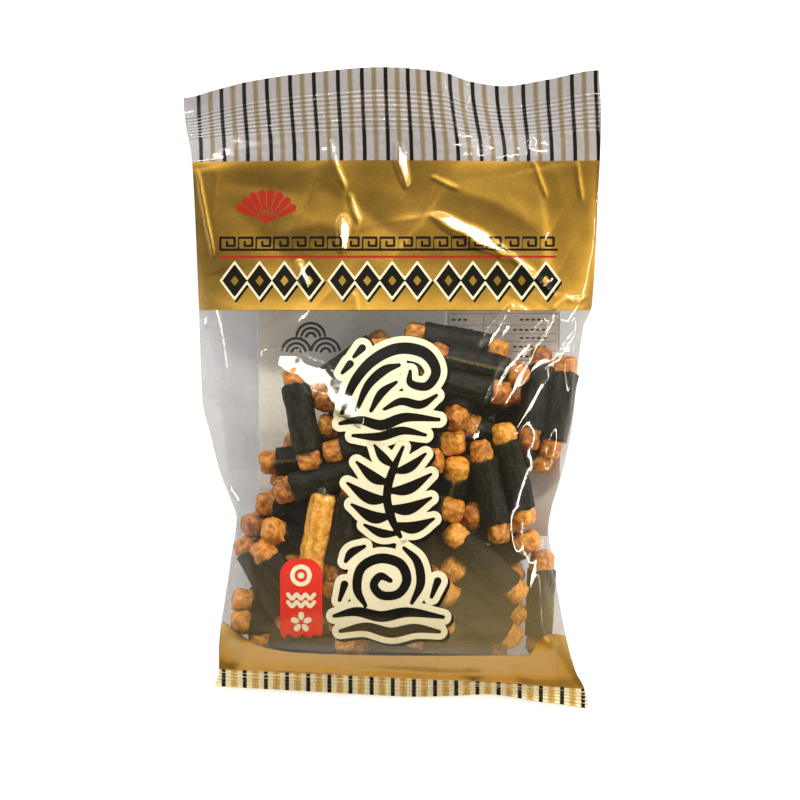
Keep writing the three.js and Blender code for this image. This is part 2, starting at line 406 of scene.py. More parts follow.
def stick_points(rng, rows, around, plain):
    """One puffed, glazed stick along X, as rings and two poles, with how deep each point lies."""
    s = np.linspace(-1, 1, rows)
    # The rings crowd towards the ends, and a wrapped stick has none under the middle of its wrap.
    if plain:
        u = np.sign(s) * (1 - (1 - np.abs(s)) ** 1.5) * 0.99
    else:
        u = np.sign(s) * (0.52 + 0.47 * (1 - (1 - np.abs(s)) ** 1.35))
    theta = np.linspace(0, 2 * math.pi, around, endpoint=False)
    uu, tt = np.meshgrid(u, theta, indexing="ij")
    squarish = 0.042 * np.cos(4 * tt + rng.uniform(0, 6)) + 0.025 * np.cos(2 * tt)
    radius = stick_radius(uu, plain) * (1 + 0.03 * np.cos(3 * tt + rng.uniform(0, 6)) + squarish)
    radius *= PLAIN_PLUMPNESS if plain else rng.uniform(*WRAPPED_PLUMPNESS)
    radius -= 0 if plain else WRAP_SQUEEZE * (1 - ease(np.abs(uu), 0.5, 0.62))
    ring = np.stack([uu * STICK_LENGTH / 2, radius * np.cos(tt), radius * np.sin(tt)], -1)
    poles = np.array([[-STICK_LENGTH / 2, 0, 0], [STICK_LENGTH / 2, 0, 0]])
    points = np.concatenate([ring.reshape(-1, 3), poles])
    outward = points * (0.12, 1, 1)  # mostly off the axis, and a little along it at the ends
    outward /= np.maximum(np.linalg.norm(outward, axis=1, keepdims=True), 1e-6)
    turn = np.arctan2(points[:, 2], points[:, 1])
    off_axis = np.hypot(points[:, 1], points[:, 2]) / STICK_RADIUS
    ribs = (np.abs(np.cos(rng.integers(3, 5) * turn + rng.uniform(0, 6))) - 0.6) * off_axis
    ribbed = 1.7 if plain else rng.choice([0, 0.2, 0.7])
    swell = ripple(points, SWELL_SIZE, rng)
    granules = ripple(points, GRANULE_SIZE, rng)
    grain = ripple(points, GRAIN_SIZE, rng)
    relief = 0.4 * granules + 0.3 * grain + ribbed * ribs
    return points + outward * (SWELL_HEIGHT * swell + RELIEF_HEIGHT * relief)[:, None], relief


NORI_LAP = 0.3  # how far the seam's upper edge stands off
NORI_RIM = 0.45  # how far the rims turn in
SEAM_WIDE = 0.3  # in radians


def nori_points(rng, rows, around):
    """One seaweed wrap round a stick along X: a tube with an overlapping seam and turned rims."""
    half = NORI_SHARE * rng.uniform(0.94, 1.05)
    u = np.concatenate([[-half], np.linspace(-half, half, rows - 2), [half]])
    theta = np.linspace(0, 2 * math.pi, around, endpoint=False)
    uu, tt = np.meshgrid(u, theta, indexing="ij")
    rim = np.zeros_like(uu)
    rim[0] = rim[-1] = 1
    overlap = NORI_LAP * (1 - tt / (2 * math.pi))
    wander = 0.36 * np.sin(2 * tt + rng.uniform(0, 6)) + 0.16 * np.sin(7 * tt)
    x = uu * STICK_LENGTH / 2 + wander * np.sign(uu)
    radius = STICK_RADIUS + NORI_LIFT + overlap - NORI_RIM * rim
    points = np.stack([x, radius * np.cos(tt), radius * np.sin(tt)], -1).reshape(-1, 3)
    outward = points * (0, 1, 1) / np.maximum(np.hypot(points[:, 1], points[:, 2]), 1e-6)[:, None]
    wrinkle = 0.14 * ripple(points * (0.4, 1, 1), 4.5, rng) + 0.04 * ripple(points, 1.8, rng)
    seam = np.exp(-(np.minimum(tt, 2 * math.pi - tt) / SEAM_WIDE) ** 2).ravel()
    local = {"seam": seam, "nori_along": x.ravel(), "nori_round": (tt * STICK_RADIUS).ravel()}
    return points + outward * wrinkle[:, None], local


def axis_frame(start, end, roll):
    """Columns that carry a stick along X to its place in the heap."""
    ahead = (end - start) / np.linalg.norm(end - start)
    side = np.cross((0, 0, 1), ahead)
    side /= np.linalg.norm(side)
    up = np.cross(ahead, side)
    turned = side * math.cos(roll) + up * math.sin(roll)
    return np.column_stack([ahead, turned, np.cross(ahead, turned)])


def add_mesh(name, points, faces, material, **attributes):
    """A smooth mesh object from points in millimetres, with one number a point for each name."""
    mesh = bpy.data.meshes.new(name)
    mesh.from_pydata((np.asarray(points) * MM).tolist(), [], faces)
    mesh.polygons.foreach_set("use_smooth", [True] * len(mesh.polygons))
    for key, values in attributes.items():
        mesh.attributes.new(key, "FLOAT", "POINT").data.foreach_set("value", np.asarray(values, np.float32))
    mesh.materials.append(material)
    mesh.update()
    made = bpy.data.objects.new(name, mesh)
    bpy.context.scene.collection.objects.link(made)
    return made


class Batch:
    """Points, faces and numbers of many like things, gathered for one mesh."""

    def __init__(self):
        self.points, self.faces, self.numbers, self.count = [], [], {}, 0

    def add(self, points, faces, **numbers):
        self.points.append(points)
        self.faces.extend([tuple(i + self.count for i in face) for face in faces])
        for key, values in numbers.items():
            self.numbers.setdefault(key, []).append(np.broadcast_to(values, len(points)))
        self.count += len(points)

    def build(self, name, material):
        numbers = {key: np.concatenate(values) for key, values in self.numbers.items()}
        return add_mesh(name, np.concatenate(self.points), self.faces, material, **numbers)


# ---------------------------------------------------------------- materials
def linear(code):
    """A linear colour from an sRGB hex code."""
    parts = [int(code[i : i + 2], 16) / 255 for i in (1, 3, 5)]
    return [c / 12.92 if c <= 0.04045 else ((c + 0.055) / 1.055) ** 2.4 for c in parts] + [1]


def add_node(tree, kind, inputs=None, **settings):
    """A shader node with its settings, its values and its links."""
    made = tree.nodes.new("ShaderNode" + kind)
    for key, value in settings.items():
        setattr(made, key, value)
    for socket, value in (inputs or {}).items():
        if isinstance(value, bpy.types.NodeSocket):
            tree.links.new(value, made.inputs[socket])
        else:
            made.inputs[socket].default_value = value
    return made


def new_material(name):
    """A named material with an empty node tree."""
    material = bpy.data.materials.new(name)
    material.use_nodes = True
    material.node_tree.nodes.clear()
    return material, material.node_tree


def finish(tree, shader):
    """Puts a shader on the material's surface."""
    add_node(tree, "OutputMaterial", {"Surface": shader})


def shades(tree, amount, stops):
    """A colour ramp over an amount, from (place, hex) stops."""
    ramp = add_node(tree, "ValToRGB", {"Fac": amount})
    elements = ramp.color_ramp.elements
    for (place, code), element in zip(stops, [elements[0], elements[1]]):
        element.position, element.color = place, linear(code)
    for place, code in stops[2:]:
        elements.new(place).color = linear(code)
    return ramp.outputs["Color"]


def per_mm(size):
    """A texture scale that repeats about once in a size in millimetres."""
    return 1 / (size * MM)


def glazed_cracker():
    """Puffed rice cracker, baked and brushed with soy: golden granules, its colour darker where its relief
    dips.
    """
    material, tree = new_material("soy-glazed rice cracker")
    place = add_node(tree, "TexCoord").outputs["Object"]
    toast = add_node(tree, "Attribute", attribute_name="toast").outputs["Fac"]
    relief = add_node(tree, "Attribute", attribute_name="relief").outputs["Fac"]
    grain = add_node(tree, "TexVoronoi", {"Vector": place, "Scale": per_mm(1.2)}).outputs["Distance"]
    mottle = add_node(tree, "TexNoise", {
        "Vector": place, "Scale": per_mm(3.0), "Detail": 3, "Roughness": 0.55,
    }).outputs["Fac"]
    # The colour darkens where the relief dips, in the hollows between the granules.
    deep = add_node(tree, "MapRange", {"Value": relief, "From Min": 0.7, "From Max": -0.7, "To Max": 0.2})
    baked = add_node(tree, "Math", {0: mottle, 1: 0.5, 2: toast}, operation="MULTIPLY_ADD")
    with_relief = add_node(tree, "Math", {0: baked.outputs[0], 1: deep.outputs[0]}, operation="ADD")
    tone = add_node(tree, "Math", {0: grain, 1: 0.16, 2: with_relief.outputs[0]}, operation="MULTIPLY_ADD")
    colour = shades(tree, tone.outputs[0], [
        (0.4, "#f6bb50"), (1.06, "#6a3607"), (0.58, "#de972d"), (0.8, "#b16812"),
    ])
    fine = add_node(tree, "TexNoise", {"Vector": place, "Scale": per_mm(0.5), "Detail": 3})
    dome = add_node(tree, "Math", {0: grain, 1: -1.0, 2: fine.outputs["Fac"]}, operation="MULTIPLY_ADD")
    bump = add_node(tree, "Bump", {"Height": dome.outputs[0], "Strength": 0.5, "Distance": 0.0006})
    shader = add_node(tree, "BsdfPrincipled", {
        "Base Color": colour, "Roughness": 0.4, "Specular IOR Level": 0.4, "Normal": bump.outputs[0],
        "Coat Weight": 0.25, "Coat Roughness": 0.2, "Coat Normal": bump.outputs[0],
    })
    finish(tree, shader.outputs[0])
    return material  # a toasted crust with brown flecks, under a thin glaze with small highlights


def roasted_nori():
    """Roasted nori seaweed: black-green, matt, with pressed fibres and a ragged glued seam."""
    material, tree = new_material("roasted nori seaweed")
    along_it = add_node(tree, "Attribute", attribute_name="nori_along").outputs["Fac"]
    round_it = add_node(tree, "Attribute", attribute_name="nori_round").outputs["Fac"]
    sheet = add_node(tree, "CombineXYZ", {0: along_it, 1: round_it}).outputs[0]
    pulled = add_node(tree, "VectorMath", {0: sheet, 1: (0.35, 1.0, 1.0)}, operation="MULTIPLY").outputs[0]
    # The sheet's own places are in millimetres, so these scales are in repeats a millimetre.
    cloud = add_node(tree, "TexNoise", {"Vector": pulled, "Scale": 0.7, "Detail": 4, "Roughness": 0.6})
    fibre = add_node(tree, "TexNoise", {"Vector": sheet, "Scale": 1.3, "Detail": 3, "Roughness": 0.7})
    both = add_node(tree, "Math", {
        0: fibre.outputs["Fac"], 1: 0.8, 2: cloud.outputs["Fac"],
    }, operation="MULTIPLY_ADD")
    base = shades(tree, both.outputs[0], [(0.7, "#090906"), (1.06, "#242215"), (0.9, "#11110b")])
    seam = add_node(tree, "Attribute", attribute_name="seam").outputs["Fac"]
    crumbs = add_node(tree, "TexNoise", {"Vector": sheet, "Scale": 1.6, "Detail": 3, "Roughness": 0.7})
    ragged = add_node(tree, "Math", {0: seam, 1: crumbs.outputs["Fac"]}, operation="MULTIPLY")
    glued = add_node(tree, "MapRange", {"Value": ragged.outputs[0], "From Min": 0.4, "From Max": 0.6})
    colour = add_node(tree, "Mix", {0: glued.outputs[0], 6: base, 7: linear("#82784a")}, data_type="RGBA")
    bump = add_node(tree, "Bump", {"Height": both.outputs[0], "Strength": 0.5, "Distance": 0.0005})
    shader = add_node(tree, "BsdfPrincipled", {
        "Base Color": colour.outputs[2], "Roughness": 0.5, "Specular IOR Level": 0.15,
        "Normal": bump.outputs[0],
    })
    finish(tree, shader.outputs[0])
    return material  # a dull black-green paper that goes olive where the light grazes it


def polypropylene(name, haze, haze_colour, cloud_colour, crinkle):
    """Oriented polypropylene film: clear and glossy, milkier where seen on a slope, its milk clouded in
    tint.
    """
    material, tree = new_material(name)
    place = add_node(tree, "TexCoord").outputs["Object"]
    crease = add_node(tree, "TexNoise", {
        "Vector": place, "Scale": per_mm(14), "Detail": 2, "Distortion": 0.6,
    }).outputs["Fac"]
    bump = add_node(tree, "Bump", {"Height": crease, "Strength": crinkle, "Distance": 0.0006})
    facing = add_node(tree, "LayerWeight", {"Blend": 0.5, "Normal": bump.outputs[0]}).outputs["Facing"]
    grazing = add_node(tree, "Math", {0: facing, 1: 5.0}, operation="POWER")
    gloss = add_node(tree, "MapRange", {"Value": grazing.outputs[0], "To Min": 0.028, "To Max": 0.3})
    steep = add_node(tree, "Math", {0: facing, 1: 3.0}, operation="POWER")
    milk = add_node(tree, "MapRange", {"Value": steep.outputs[0], "To Min": haze, "To Max": haze + 0.18})
    clear = add_node(tree, "BsdfTransparent", {"Color": (0.97, 0.97, 0.97, 1)})
    clouds = shades(tree, crease, [(0.35, haze_colour), (0.65, cloud_colour)])
    tint = add_node(tree, "Mix", {0: steep.outputs[0], 6: clouds, 7: linear("#9394a6")}, data_type="RGBA")
    milky = add_node(tree, "BsdfDiffuse", {"Color": tint.outputs[2]})
    body = add_node(tree, "MixShader", {0: milk.outputs[0], 1: clear.outputs[0], 2: milky.outputs[0]})
    shine = add_node(tree, "BsdfGlossy", {
        "Color": (1, 1, 1, 1), "Roughness": 0.06, "Normal": bump.outputs[0],
    })
    film = add_node(tree, "MixShader", {0: gloss.outputs[0], 1: body.outputs[0], 2: shine.outputs[0]})
    finish(tree, film.outputs[0])
    return material  # what lies behind shows through, under sharp lights along every crease


def painted_light_veil():
    """Painted warm light on the film's inside: a thin warm veil, thick in one corner, that stands in for
    light and sheen falling on the lower right.
    """
    material, tree = new_material("painted light veil")
    # how much painted warm light each point of the veil carries
    fog = add_node(tree, "Attribute", attribute_name="fog").outputs["Fac"]
    clear = add_node(tree, "BsdfTransparent")
    painted_warm_shader = add_node(tree, "BsdfDiffuse", {"Color": linear("#c6b07a")})
    veil = add_node(tree, "MixShader", {0: fog, 1: clear.outputs[0], 2: painted_warm_shader.outputs[0]})
    finish(tree, veil.outputs[0])
    return material  # a tan veil that dulls what lies behind it


def printed_ink(name, code, roughness=0.45, cover=1.0, mottle=0.06, gloss=0.0):
    """Gravure ink on the film's inside: flat colour with a faint mottle from the screen."""
    material, tree = new_material(name)
    place = add_node(tree, "TexCoord").outputs["Object"]
    screen = add_node(tree, "TexNoise", {"Vector": place, "Scale": per_mm(1.2), "Detail": 3})
    shade = add_node(tree, "MapRange", {
        "Value": screen.outputs["Fac"], "From Min": 0.3, "From Max": 0.7,
        "To Min": 1 - mottle, "To Max": 1 + mottle,
    })
    colour = add_node(tree, "VectorMath", {0: linear(code)[:3]}, operation="SCALE")
    tree.links.new(shade.outputs[0], colour.inputs["Scale"])
    shader = add_node(tree, "BsdfPrincipled", {
        "Base Color": colour.outputs[0], "Roughness": roughness, "Specular IOR Level": gloss, "Alpha": cover,
    })
    finish(tree, shader.outputs[0])
    return material  # an even, satin colour, through which a thin cover lets what lies behind show


def gold_ink():
    """Bronze powder ink behind clear film: it mirrors broadly, and goes from brown to bright gold."""
    material, tree = new_material("bronze powder ink")
    place = add_node(tree, "TexCoord").outputs["Object"]
    flake = add_node(tree, "TexNoise", {"Vector": place, "Scale": per_mm(0.9), "Detail": 2})
    colour = shades(tree, flake.outputs["Fac"], [(0.3, "#9f7b2d"), (0.7, "#ac8736")])
    shader = add_node(tree, "BsdfPrincipled", {"Base Color": colour, "Metallic": 1.0, "Roughness": 0.46})
    finish(tree, shader.outputs[0])
    return material  # a satin metal that darkens wherever the film tips away from the light


CRACKER = glazed_cracker()
NORI = roasted_nori()
FRONT_FILM = polypropylene(
    "clear polypropylene film", haze=0.01, haze_colour="#ddd2b0", cloud_colour="#ddd2b0", crinkle=0.05,
)
BACK_FILM = polypropylene(
    "milky polypropylene film", haze=0.56, haze_colour="#6d7280", cloud_colour="#9498a6", crinkle=0.08,
)
# a veil of painted warm light and sheen over the window's lower right
LIGHT_VEIL = painted_light_veil()
GOLD = gold_ink()
BLACK = printed_ink("black ink", "#070605")
CREAM = printed_ink("cream ink", "#e8e3c6", 0.5, mottle=0.03)
RED = printed_ink("red ink", "#dc352a", mottle=0.05)
RED_ON_GOLD = printed_ink("red ink over gold", "#a52418", mottle=0.05)
TAN = printed_ink("olive tan ink", "#94804f", 0.5, cover=0.42)
PALE = printed_ink("pale grey ink", "#aaa8ae", cover=0.82, gloss=0.08)
WARM = printed_ink("cream seal ink", "#fff4cc", 0.3, cover=0.9, gloss=0.5)
OCHRE = printed_ink("ochre ink", "#e0b23c", cover=0.45)
LABEL = printed_ink("beige back print", "#fbf8ec", 0.55, cover=0.75)
TABLE = printed_ink("white back print", "#fdfbf6", 0.55, cover=0.92)
LAP = printed_ink("cloudy lap seal", "#d9dadf", 0.55, cover=0.3)
BACK_DARK = printed_ink("grey-black back print", "#4a4947", 0.55)


# ---------------------------------------------------------------- the heap
STICK_MESH = ((22, 18), (44, 36))  # rings and points round one that is hidden, and one that shows
WRAP_MESH = ((12, 18), (24, 40))
TOAST = (0.16, 0.46)  # how brown the sticks are baked
PLAIN_TOAST = 0.12
SEAM_UP = 90  # a wrap's turn about its stick, in degrees
SEAM_AWAY = (170, 370)
NEXT_NORI = 50  # how far along one large sheet each wrap is cut after the one before


def build_heap():
    """All the sticks in one piece and all their wraps in another."""
    crackers, wraps = Batch(), Batch()
    rng = np.random.default_rng(RANDOM_SEED + 1)
    for index, (start, end) in enumerate(axes):
        shown = int(held_in_place[index])
        plain = is_plain(index)
        rows, around = STICK_MESH[shown]
        roll = math.radians(SEAM_UP if index in SEAMS_UP else rng.uniform(*SEAM_AWAY))
        frame_columns = axis_frame(start, end, roll)
        middle = (start + end) / 2
        points, relief = stick_points(rng, rows, around, plain)
        toast = PLAIN_TOAST if plain else rng.uniform(*TOAST)
        placed = points @ frame_columns.T + middle
        crackers.add(placed, tube_faces(rows, around, True), toast=toast, relief=relief)
        if plain:
            continue
        rows, around = WRAP_MESH[shown]
        points, local = nori_points(rng, rows, around)
        local["nori_along"] = local["nori_along"] + NEXT_NORI * index
        wraps.add(points @ frame_columns.T + middle, tube_faces(rows, around, False), **local)
    return crackers.build("rice_crackers", CRACKER), wraps.build("nori_wraps", NORI)


pieces = list(build_heap())


# ---------------------------------------------------------------- the film
BAND_TOP = 199.1  # height up the pack where the header starts
SEAL_GAP = 0.5  # between the two films where they are sealed
TOP_CRIMP = (210.5, 225)  # heights up the pack of the crimped bands
BOTTOM_CRIMP = (0.4, 7)
RIBS = {TOP_CRIMP: (1.72, 0.2), BOTTOM_CRIMP: (1.45, 0.19)}  # their pitch and depth
RIB_FADE = 0.6  # height over which they start and end
COLUMNS = 236
ROW_STEP = 0.72
SEAL_STEP = 0.3  # between rows at the top crimp
CUT_STEP = 0.22  # and at the bottom one
SPAN = 7  # cells over which the film spans from stick to stick
FLOOR_GAP = 0.05  # that the back film keeps from the table it lies on
# How far the film clears the sticks: past the ends of the axis, and round it.
WRAPPED_REACH = (1.6, 5.75)
PLAIN_REACH = (3.2, 6.3)

# The fine crackle between the creases, as heights and the sizes of their waves.
CRINKLE_HEIGHT, CRINKLE_SIZE = 0.09, 26
PUCKER_HEIGHT, PUCKER_SIZE = 0.024, 9
CRUMPLE_HEIGHT, CRUMPLE_SIZE = 0.08, 4  # only on the header, below its crimp

# Broad creases: a path over the plan by x and height up the pack, how proud the crest stands
# (a valley's is negative) and how far its slopes reach.
CREASE_ROUNDING = 1.2
CREASE_FADE = 0.6
BROAD_CREASES = [
    ([(-23, 204), (-15, 172)], 1.1, 6), ([(3, 206), (7, 178)], -1.2, 6),
    ([(13, 180), (58, 154)], 1.2, 12), ([(15, 190), (38, 183.5), (57, 171.5)], 1.25, 8),
    ([(-28, 190), (-12, 182), (5, 169)], -1.5, 11), ([(-42, 172), (-26, 176), (-13, 171)], 1.1, 8),
    ([(52, 196), (56, 174), (54, 152)], 1.2, 8.5),
    ([(-64, 191), (-46, 189.5), (-30, 186)], -1.3, 10), ([(-70, 196), (-62, 158)], 1.2, 7),
    ([(54, 200), (60, 150)], -1, 7), ([(-62, 186), (-24, 150)], -1.1, 10),
    ([(60, 142), (28, 96)], 1.8, 6), ([(48, 146), (33, 120)], 1.3, 5),
    ([(64, 128), (40, 94)], 1.5, 6), ([(-46, 132), (-16, 106)], 0.7, 12),
    ([(-63, 80), (-44, 70)], 1.3, 6), ([(-57, 60), (-36, 26)], 1.2, 7),
    ([(55, 74), (55, 16)], 1.7, 5), ([(70, 4), (54, 30)], 1.6, 6),
    ([(-62, 8), (-46, 26)], 1.5, 6), ([(-20, 10), (-24, 24)], -1.1, 6),
    ([(28, 8), (22, 22)], -1.1, 6), ([(-60, 10.5), (-38, 13.4), (-14, 11.4)], 0.9, 1.3),
    ([(-12, 12.8), (18, 11), (48, 12.6), (64, 10.4)], -0.8, 1.3), ([(4, 15), (30, 13.2)], 0.6, 1.3),
]

# Where handling pulled the film flat between creases, so that it mirrors a lamp: a path over the
# plan, the flat's width, and the lamp.
GLINTS = [
    # across the gold band
    ([(-71.2, 82), (-65.3, 51), (-64.4, 46)], 0.9, "right"),
    ([(-22.6, 92), (-20.1, 81.6), (-16.2, 72)], 1.8, "right"),
    ([(-15.4, 72), (-13.6, 66), (-11.6, 59.5)], 1.6, "right"),
    ([(-17.2, 64), (-17.8, 49)], 4.2, "right"), ([(2.2, 91), (4.2, 81), (6, 72.5)], 3.6, "right"),
    ([(13.6, 78), (25.2, 72.6)], 1.1, "far"), ([(12.5, 64.6), (28, 57.4), (45, 47)], 5.2, "far"),
    ([(40, 51), (50, 43.5), (60.5, 33)], 1.6, "far"), ([(51.5, 84), (57, 69)], 0.8, "right"),
    ([(67.5, 84), (69.7, 68)], 0.8, "right"),
    ([(57.6, 27.6), (63.1, 33.3), (67.9, 32.2), (73, 34.6)], 1.0, "far"),
    ([(-34, 47.5), (-30.4, 36)], 3.0, "right"), ([(-13.6, 36), (-11, 21)], 0.9, "right"),
    # over the window's upper right
    ([(44.5, 31), (38.5, 22), (32.5, 13)], 2.2, "right"),
    ([(57.2, 25.5), (50.2, 16.4), (40.8, 6.4), (33.4, -9)], 2.4, "right"),
    ([(54, 16.5), (46.8, 4.8), (38.8, -9.4)], 2.2, "right"),
    ([(68.1, 29), (66.4, 19.6), (63.1, 13.2), (56.8, 5.7), (50.3, -6.2), (40.8, -21.3)], 2.2, "right"),
    ([(14, 4.3), (34.6, -2.2)], 0.6, "far"), ([(33.5, -13.6), (26.4, -20.8)], 3.2, "right"),
    # down the right side
    ([(53.2, -60), (49.5, -74.5)], 1.4, "right"),
    # over the window's left
    ([(-49, 13), (-35, 8.4), (-23, 0.6), (-15, -7), (-8.5, -15)], 9.0, "far"),
    ([(-69, 27), (-67.6, 22)], 1.4, "far"), ([(-60, -34), (-54, -43)], 2.2, "far"),
    ([(-26, -36), (-21.6, -42.6)], 2.6, "far"),
]
GLINT_SKIRT = 1.1  # over which a flat turns back into its surroundings
MOST_RAISED = 1.5  # how far a flat may be lifted to clear the film under it
LAMP_PLACES = 61  # along a lamp, to choose the one that a flat mirrors
LAMP_SHARE = 0.47  # of its length to each side of its middle, so that no flat mirrors its ends
PATH_PLACES = 41
SMOOTHING = 9  # places that a running mean takes in

# Strip lamps: place and length in metres, and power in watts.
LAMPS = {"far": ((0.0, 0.96, 0.96), 2.4, 20), "right": ((0.98, 0.05, 0.94), 2.2, 16)}
LAMP_WIDE = 0.04  # in metres
LAMP_COLOUR = "#fff6e4"
CAMERA_HEIGHT = 3.0  # in metres


def off_path(x, y, path):
    """How far points lie to the left of a path, and their place along it from 0 to 1."""
    path = np.array(path, float)
    steps = np.linalg.norm(np.diff(path, axis=0), axis=1)
    starts = np.concatenate([[0], np.cumsum(steps)])
    best, place = np.full(np.shape(x), np.inf), np.zeros(np.shape(x))
    for (x0, y0), (x1, y1), begin, step in zip(path[:-1], path[1:], starts, steps):
        t = np.clip(((x - x0) * (x1 - x0) + (y - y0) * (y1 - y0)) / step**2, 0, 1)
        distance = np.hypot(x - x0 - t * (x1 - x0), y - y0 - t * (y1 - y0))
        left = np.sign((x1 - x0) * (y - y0) - (y1 - y0) * (x - x0))
        nearer = distance < np.abs(best)
        best = np.where(nearer, left * distance, best)
        place = np.where(nearer, (begin + t * step) / starts[-1], place)
    return best, place


def crease_lift(x, y, path, proud, reach):
    """How far a crease lifts the film: most along its middle, and nothing at its ends."""
    distance, place = off_path(x, y, path)
    side = np.hypot(distance, CREASE_ROUNDING) - CREASE_ROUNDING
    return proud * np.exp(-side / reach) * np.sin(math.pi * place) ** CREASE_FADE


def at_place(grid, across, up):
    """A grid's value at a place in the sheet."""
    row = np.interp(up, UPS, np.arange(len(UPS)))
    column = np.clip(across, 0, 1) * COLUMNS
    i = np.clip(row.astype(int), 0, len(UPS) - 2)
    j = np.clip(column.astype(int), 0, COLUMNS - 1)
    s, t = row - i, column - j
    if grid.ndim == 3:
        s, t = s[..., None], t[..., None]
    low = grid[i, j] * (1 - t) + grid[i, j + 1] * t
    high = grid[i + 1, j] * (1 - t) + grid[i + 1, j + 1] * t
    return low * (1 - s) + high * s


def mirror_slopes(point, lamp):
    """The film's slopes over the plan that would mirror each place along a lamp to the camera."""
    place, long, _ = LAMPS[lamp]
    sideways = np.array([-place[1], place[0], 0]) / math.hypot(place[0], place[1])
    shares = np.linspace(-LAMP_SHARE, LAMP_SHARE, LAMP_PLACES)
    lit = np.array(place) + shares[:, None] * long * sideways
    to_lamp = lit - point * MM
    to_lamp /= np.linalg.norm(to_lamp, axis=1, keepdims=True)
    to_eye = np.array([0, 0, CAMERA_HEIGHT]) - point * MM
    half = to_lamp + to_eye / np.linalg.norm(to_eye)
    return -half[:, :2] / half[:, 2:]


def running_mean(values):
    """Values along a path, smoothed, with the ends held."""
    padded = np.pad(values, SMOOTHING // 2, "edge")
    return np.convolve(padded, np.ones(SMOOTHING) / SMOOTHING, "valid")


def glint(front, x, y, path, width, lamp):
    """The front with the film pulled flat along a path, at the slope that mirrors a lamp."""
    path = np.array(path, float)
    steps = np.concatenate([[0], np.cumsum(np.linalg.norm(np.diff(path, axis=0), axis=1))])
    places = np.linspace(0, 1, PATH_PLACES)
    points = np.stack([np.interp(places * steps[-1], steps, path[:, k]) for k in (0, 1)], 1)
    height = running_mean(at_place(front, *sheet_place(points[:, 0], points[:, 1])))
    way = np.gradient(points, axis=0)
    stride = np.linalg.norm(way, axis=1)
    way /= stride[:, None]
    climb = np.gradient(height) / stride
    tilt = []
    # Of the slopes that mirror the lamp, the film takes the one nearest its own along the path.
    for point, ahead, rate, z in zip(points, way, climb, height):
        slopes = mirror_slopes(np.array([*point, z]), lamp)
        best = slopes[np.argmin(np.abs(slopes @ ahead - rate))]
        tilt.append(best @ (-ahead[1], ahead[0]))
    off, place = off_path(x, y, path)
    target = np.interp(place, places, height) + np.interp(place, places, running_mean(tilt)) * off
    taper = np.sin(math.pi * place)
    wavering = 1 + 0.16 * np.sin(0.5 * steps[-1] * place + 3 * width)
    half = 0.5 * width * taper**0.8 * wavering
    hold = (1 - ease(np.abs(off), half, half + GLINT_SKIRT)) * ease(taper, 0, 0.3)
    flat = hold > 0.5
    raised = np.clip(np.max((front - target)[flat]), 0, MOST_RAISED) if flat.any() else 0
    return front + hold * (target + raised * ease(taper, 0, 0.5) - front)


def row_heights():
    """Heights up the pack of the film's rows, finer where the seals are crimped."""
    spans = [
        (0, BOTTOM_CRIMP[1] + 1, CUT_STEP), (BOTTOM_CRIMP[1] + 1, TOP_CRIMP[0] - 1, ROW_STEP),
        (TOP_CRIMP[0] - 1, TOP_CRIMP[1] + 1, SEAL_STEP), (TOP_CRIMP[1] + 1, LENGTH, ROW_STEP),
    ]
    rows = [np.arange(low, high - step / 2, step) for low, high, step in spans]
    return np.concatenate(rows + [[LENGTH]])


UPS = row_heights()
ACROSS = np.linspace(0, 1, COLUMNS + 1)


def heap_reach(x, y, side):
    """How far the sticks stand up (side 1) or down (side -1) at each plan position."""
    top = np.full(x.shape, -np.inf)
    for index, (start, end) in enumerate(axes):
        reach, radius = PLAIN_REACH if is_plain(index) else WRAPPED_REACH
        ahead = reach * (end - start) / AXIS_LENGTH
        start, end = start - ahead, end + ahead
        low, high = np.minimum(start, end) - radius, np.maximum(start, end) + radius
        near = (x > low[0]) & (x < high[0]) & (y > low[1]) & (y < high[1])
        run = end[:2] - start[:2]
        t = np.clip(((x[near] - start[0]) * run[0] + (y[near] - start[1]) * run[1]) / (run @ run), 0, 1)
        off = np.hypot(x[near] - start[0] - t * run[0], y[near] - start[1] - t * run[1])
        rise = np.sqrt(np.maximum(radius**2 - off**2, 0))
        height = np.where(rise > 0, side * (start[2] + t * (end[2] - start[2])) + rise, -np.inf)
        top[near] = np.maximum(top[near], height)
    return top


def spread(field, reach, gather):
    """Runs a window of cells over both ways of a grid, and gathers what it covers."""
    for way in (0, 1):
        field = gather([np.roll(field, step, way) for step in range(-reach, reach + 1)])
    return field


def drape(front, heap):
    """Lifts the film over the sticks that stand through it and lets it span between them."""
    weights = np.exp(-(np.linspace(-2, 2, 2 * SPAN + 1) ** 2))
    weights /= weights.sum()
    need = np.maximum(heap - front, 0)
    held = spread(need, SPAN, lambda layers: np.max(layers, axis=0))
    held[:, :SPAN] = held[:, -SPAN:] = 0
    lift = spread(held, SPAN, lambda layers: np.tensordot(weights, layers, 1))
    return front + np.maximum(lift, need)


def crimp(up):
    """The seals' ribs, as heights over the sheet."""
    ribs = 0
    for (low, high), (pitch, depth) in RIBS.items():
        starts = ease(up, low - RIB_FADE, low + RIB_FADE)
        band = starts * (1 - ease(up, high - RIB_FADE, high + RIB_FADE))
        ribs = ribs + depth * band * np.sin(2 * math.pi * up / pitch)
    return ribs


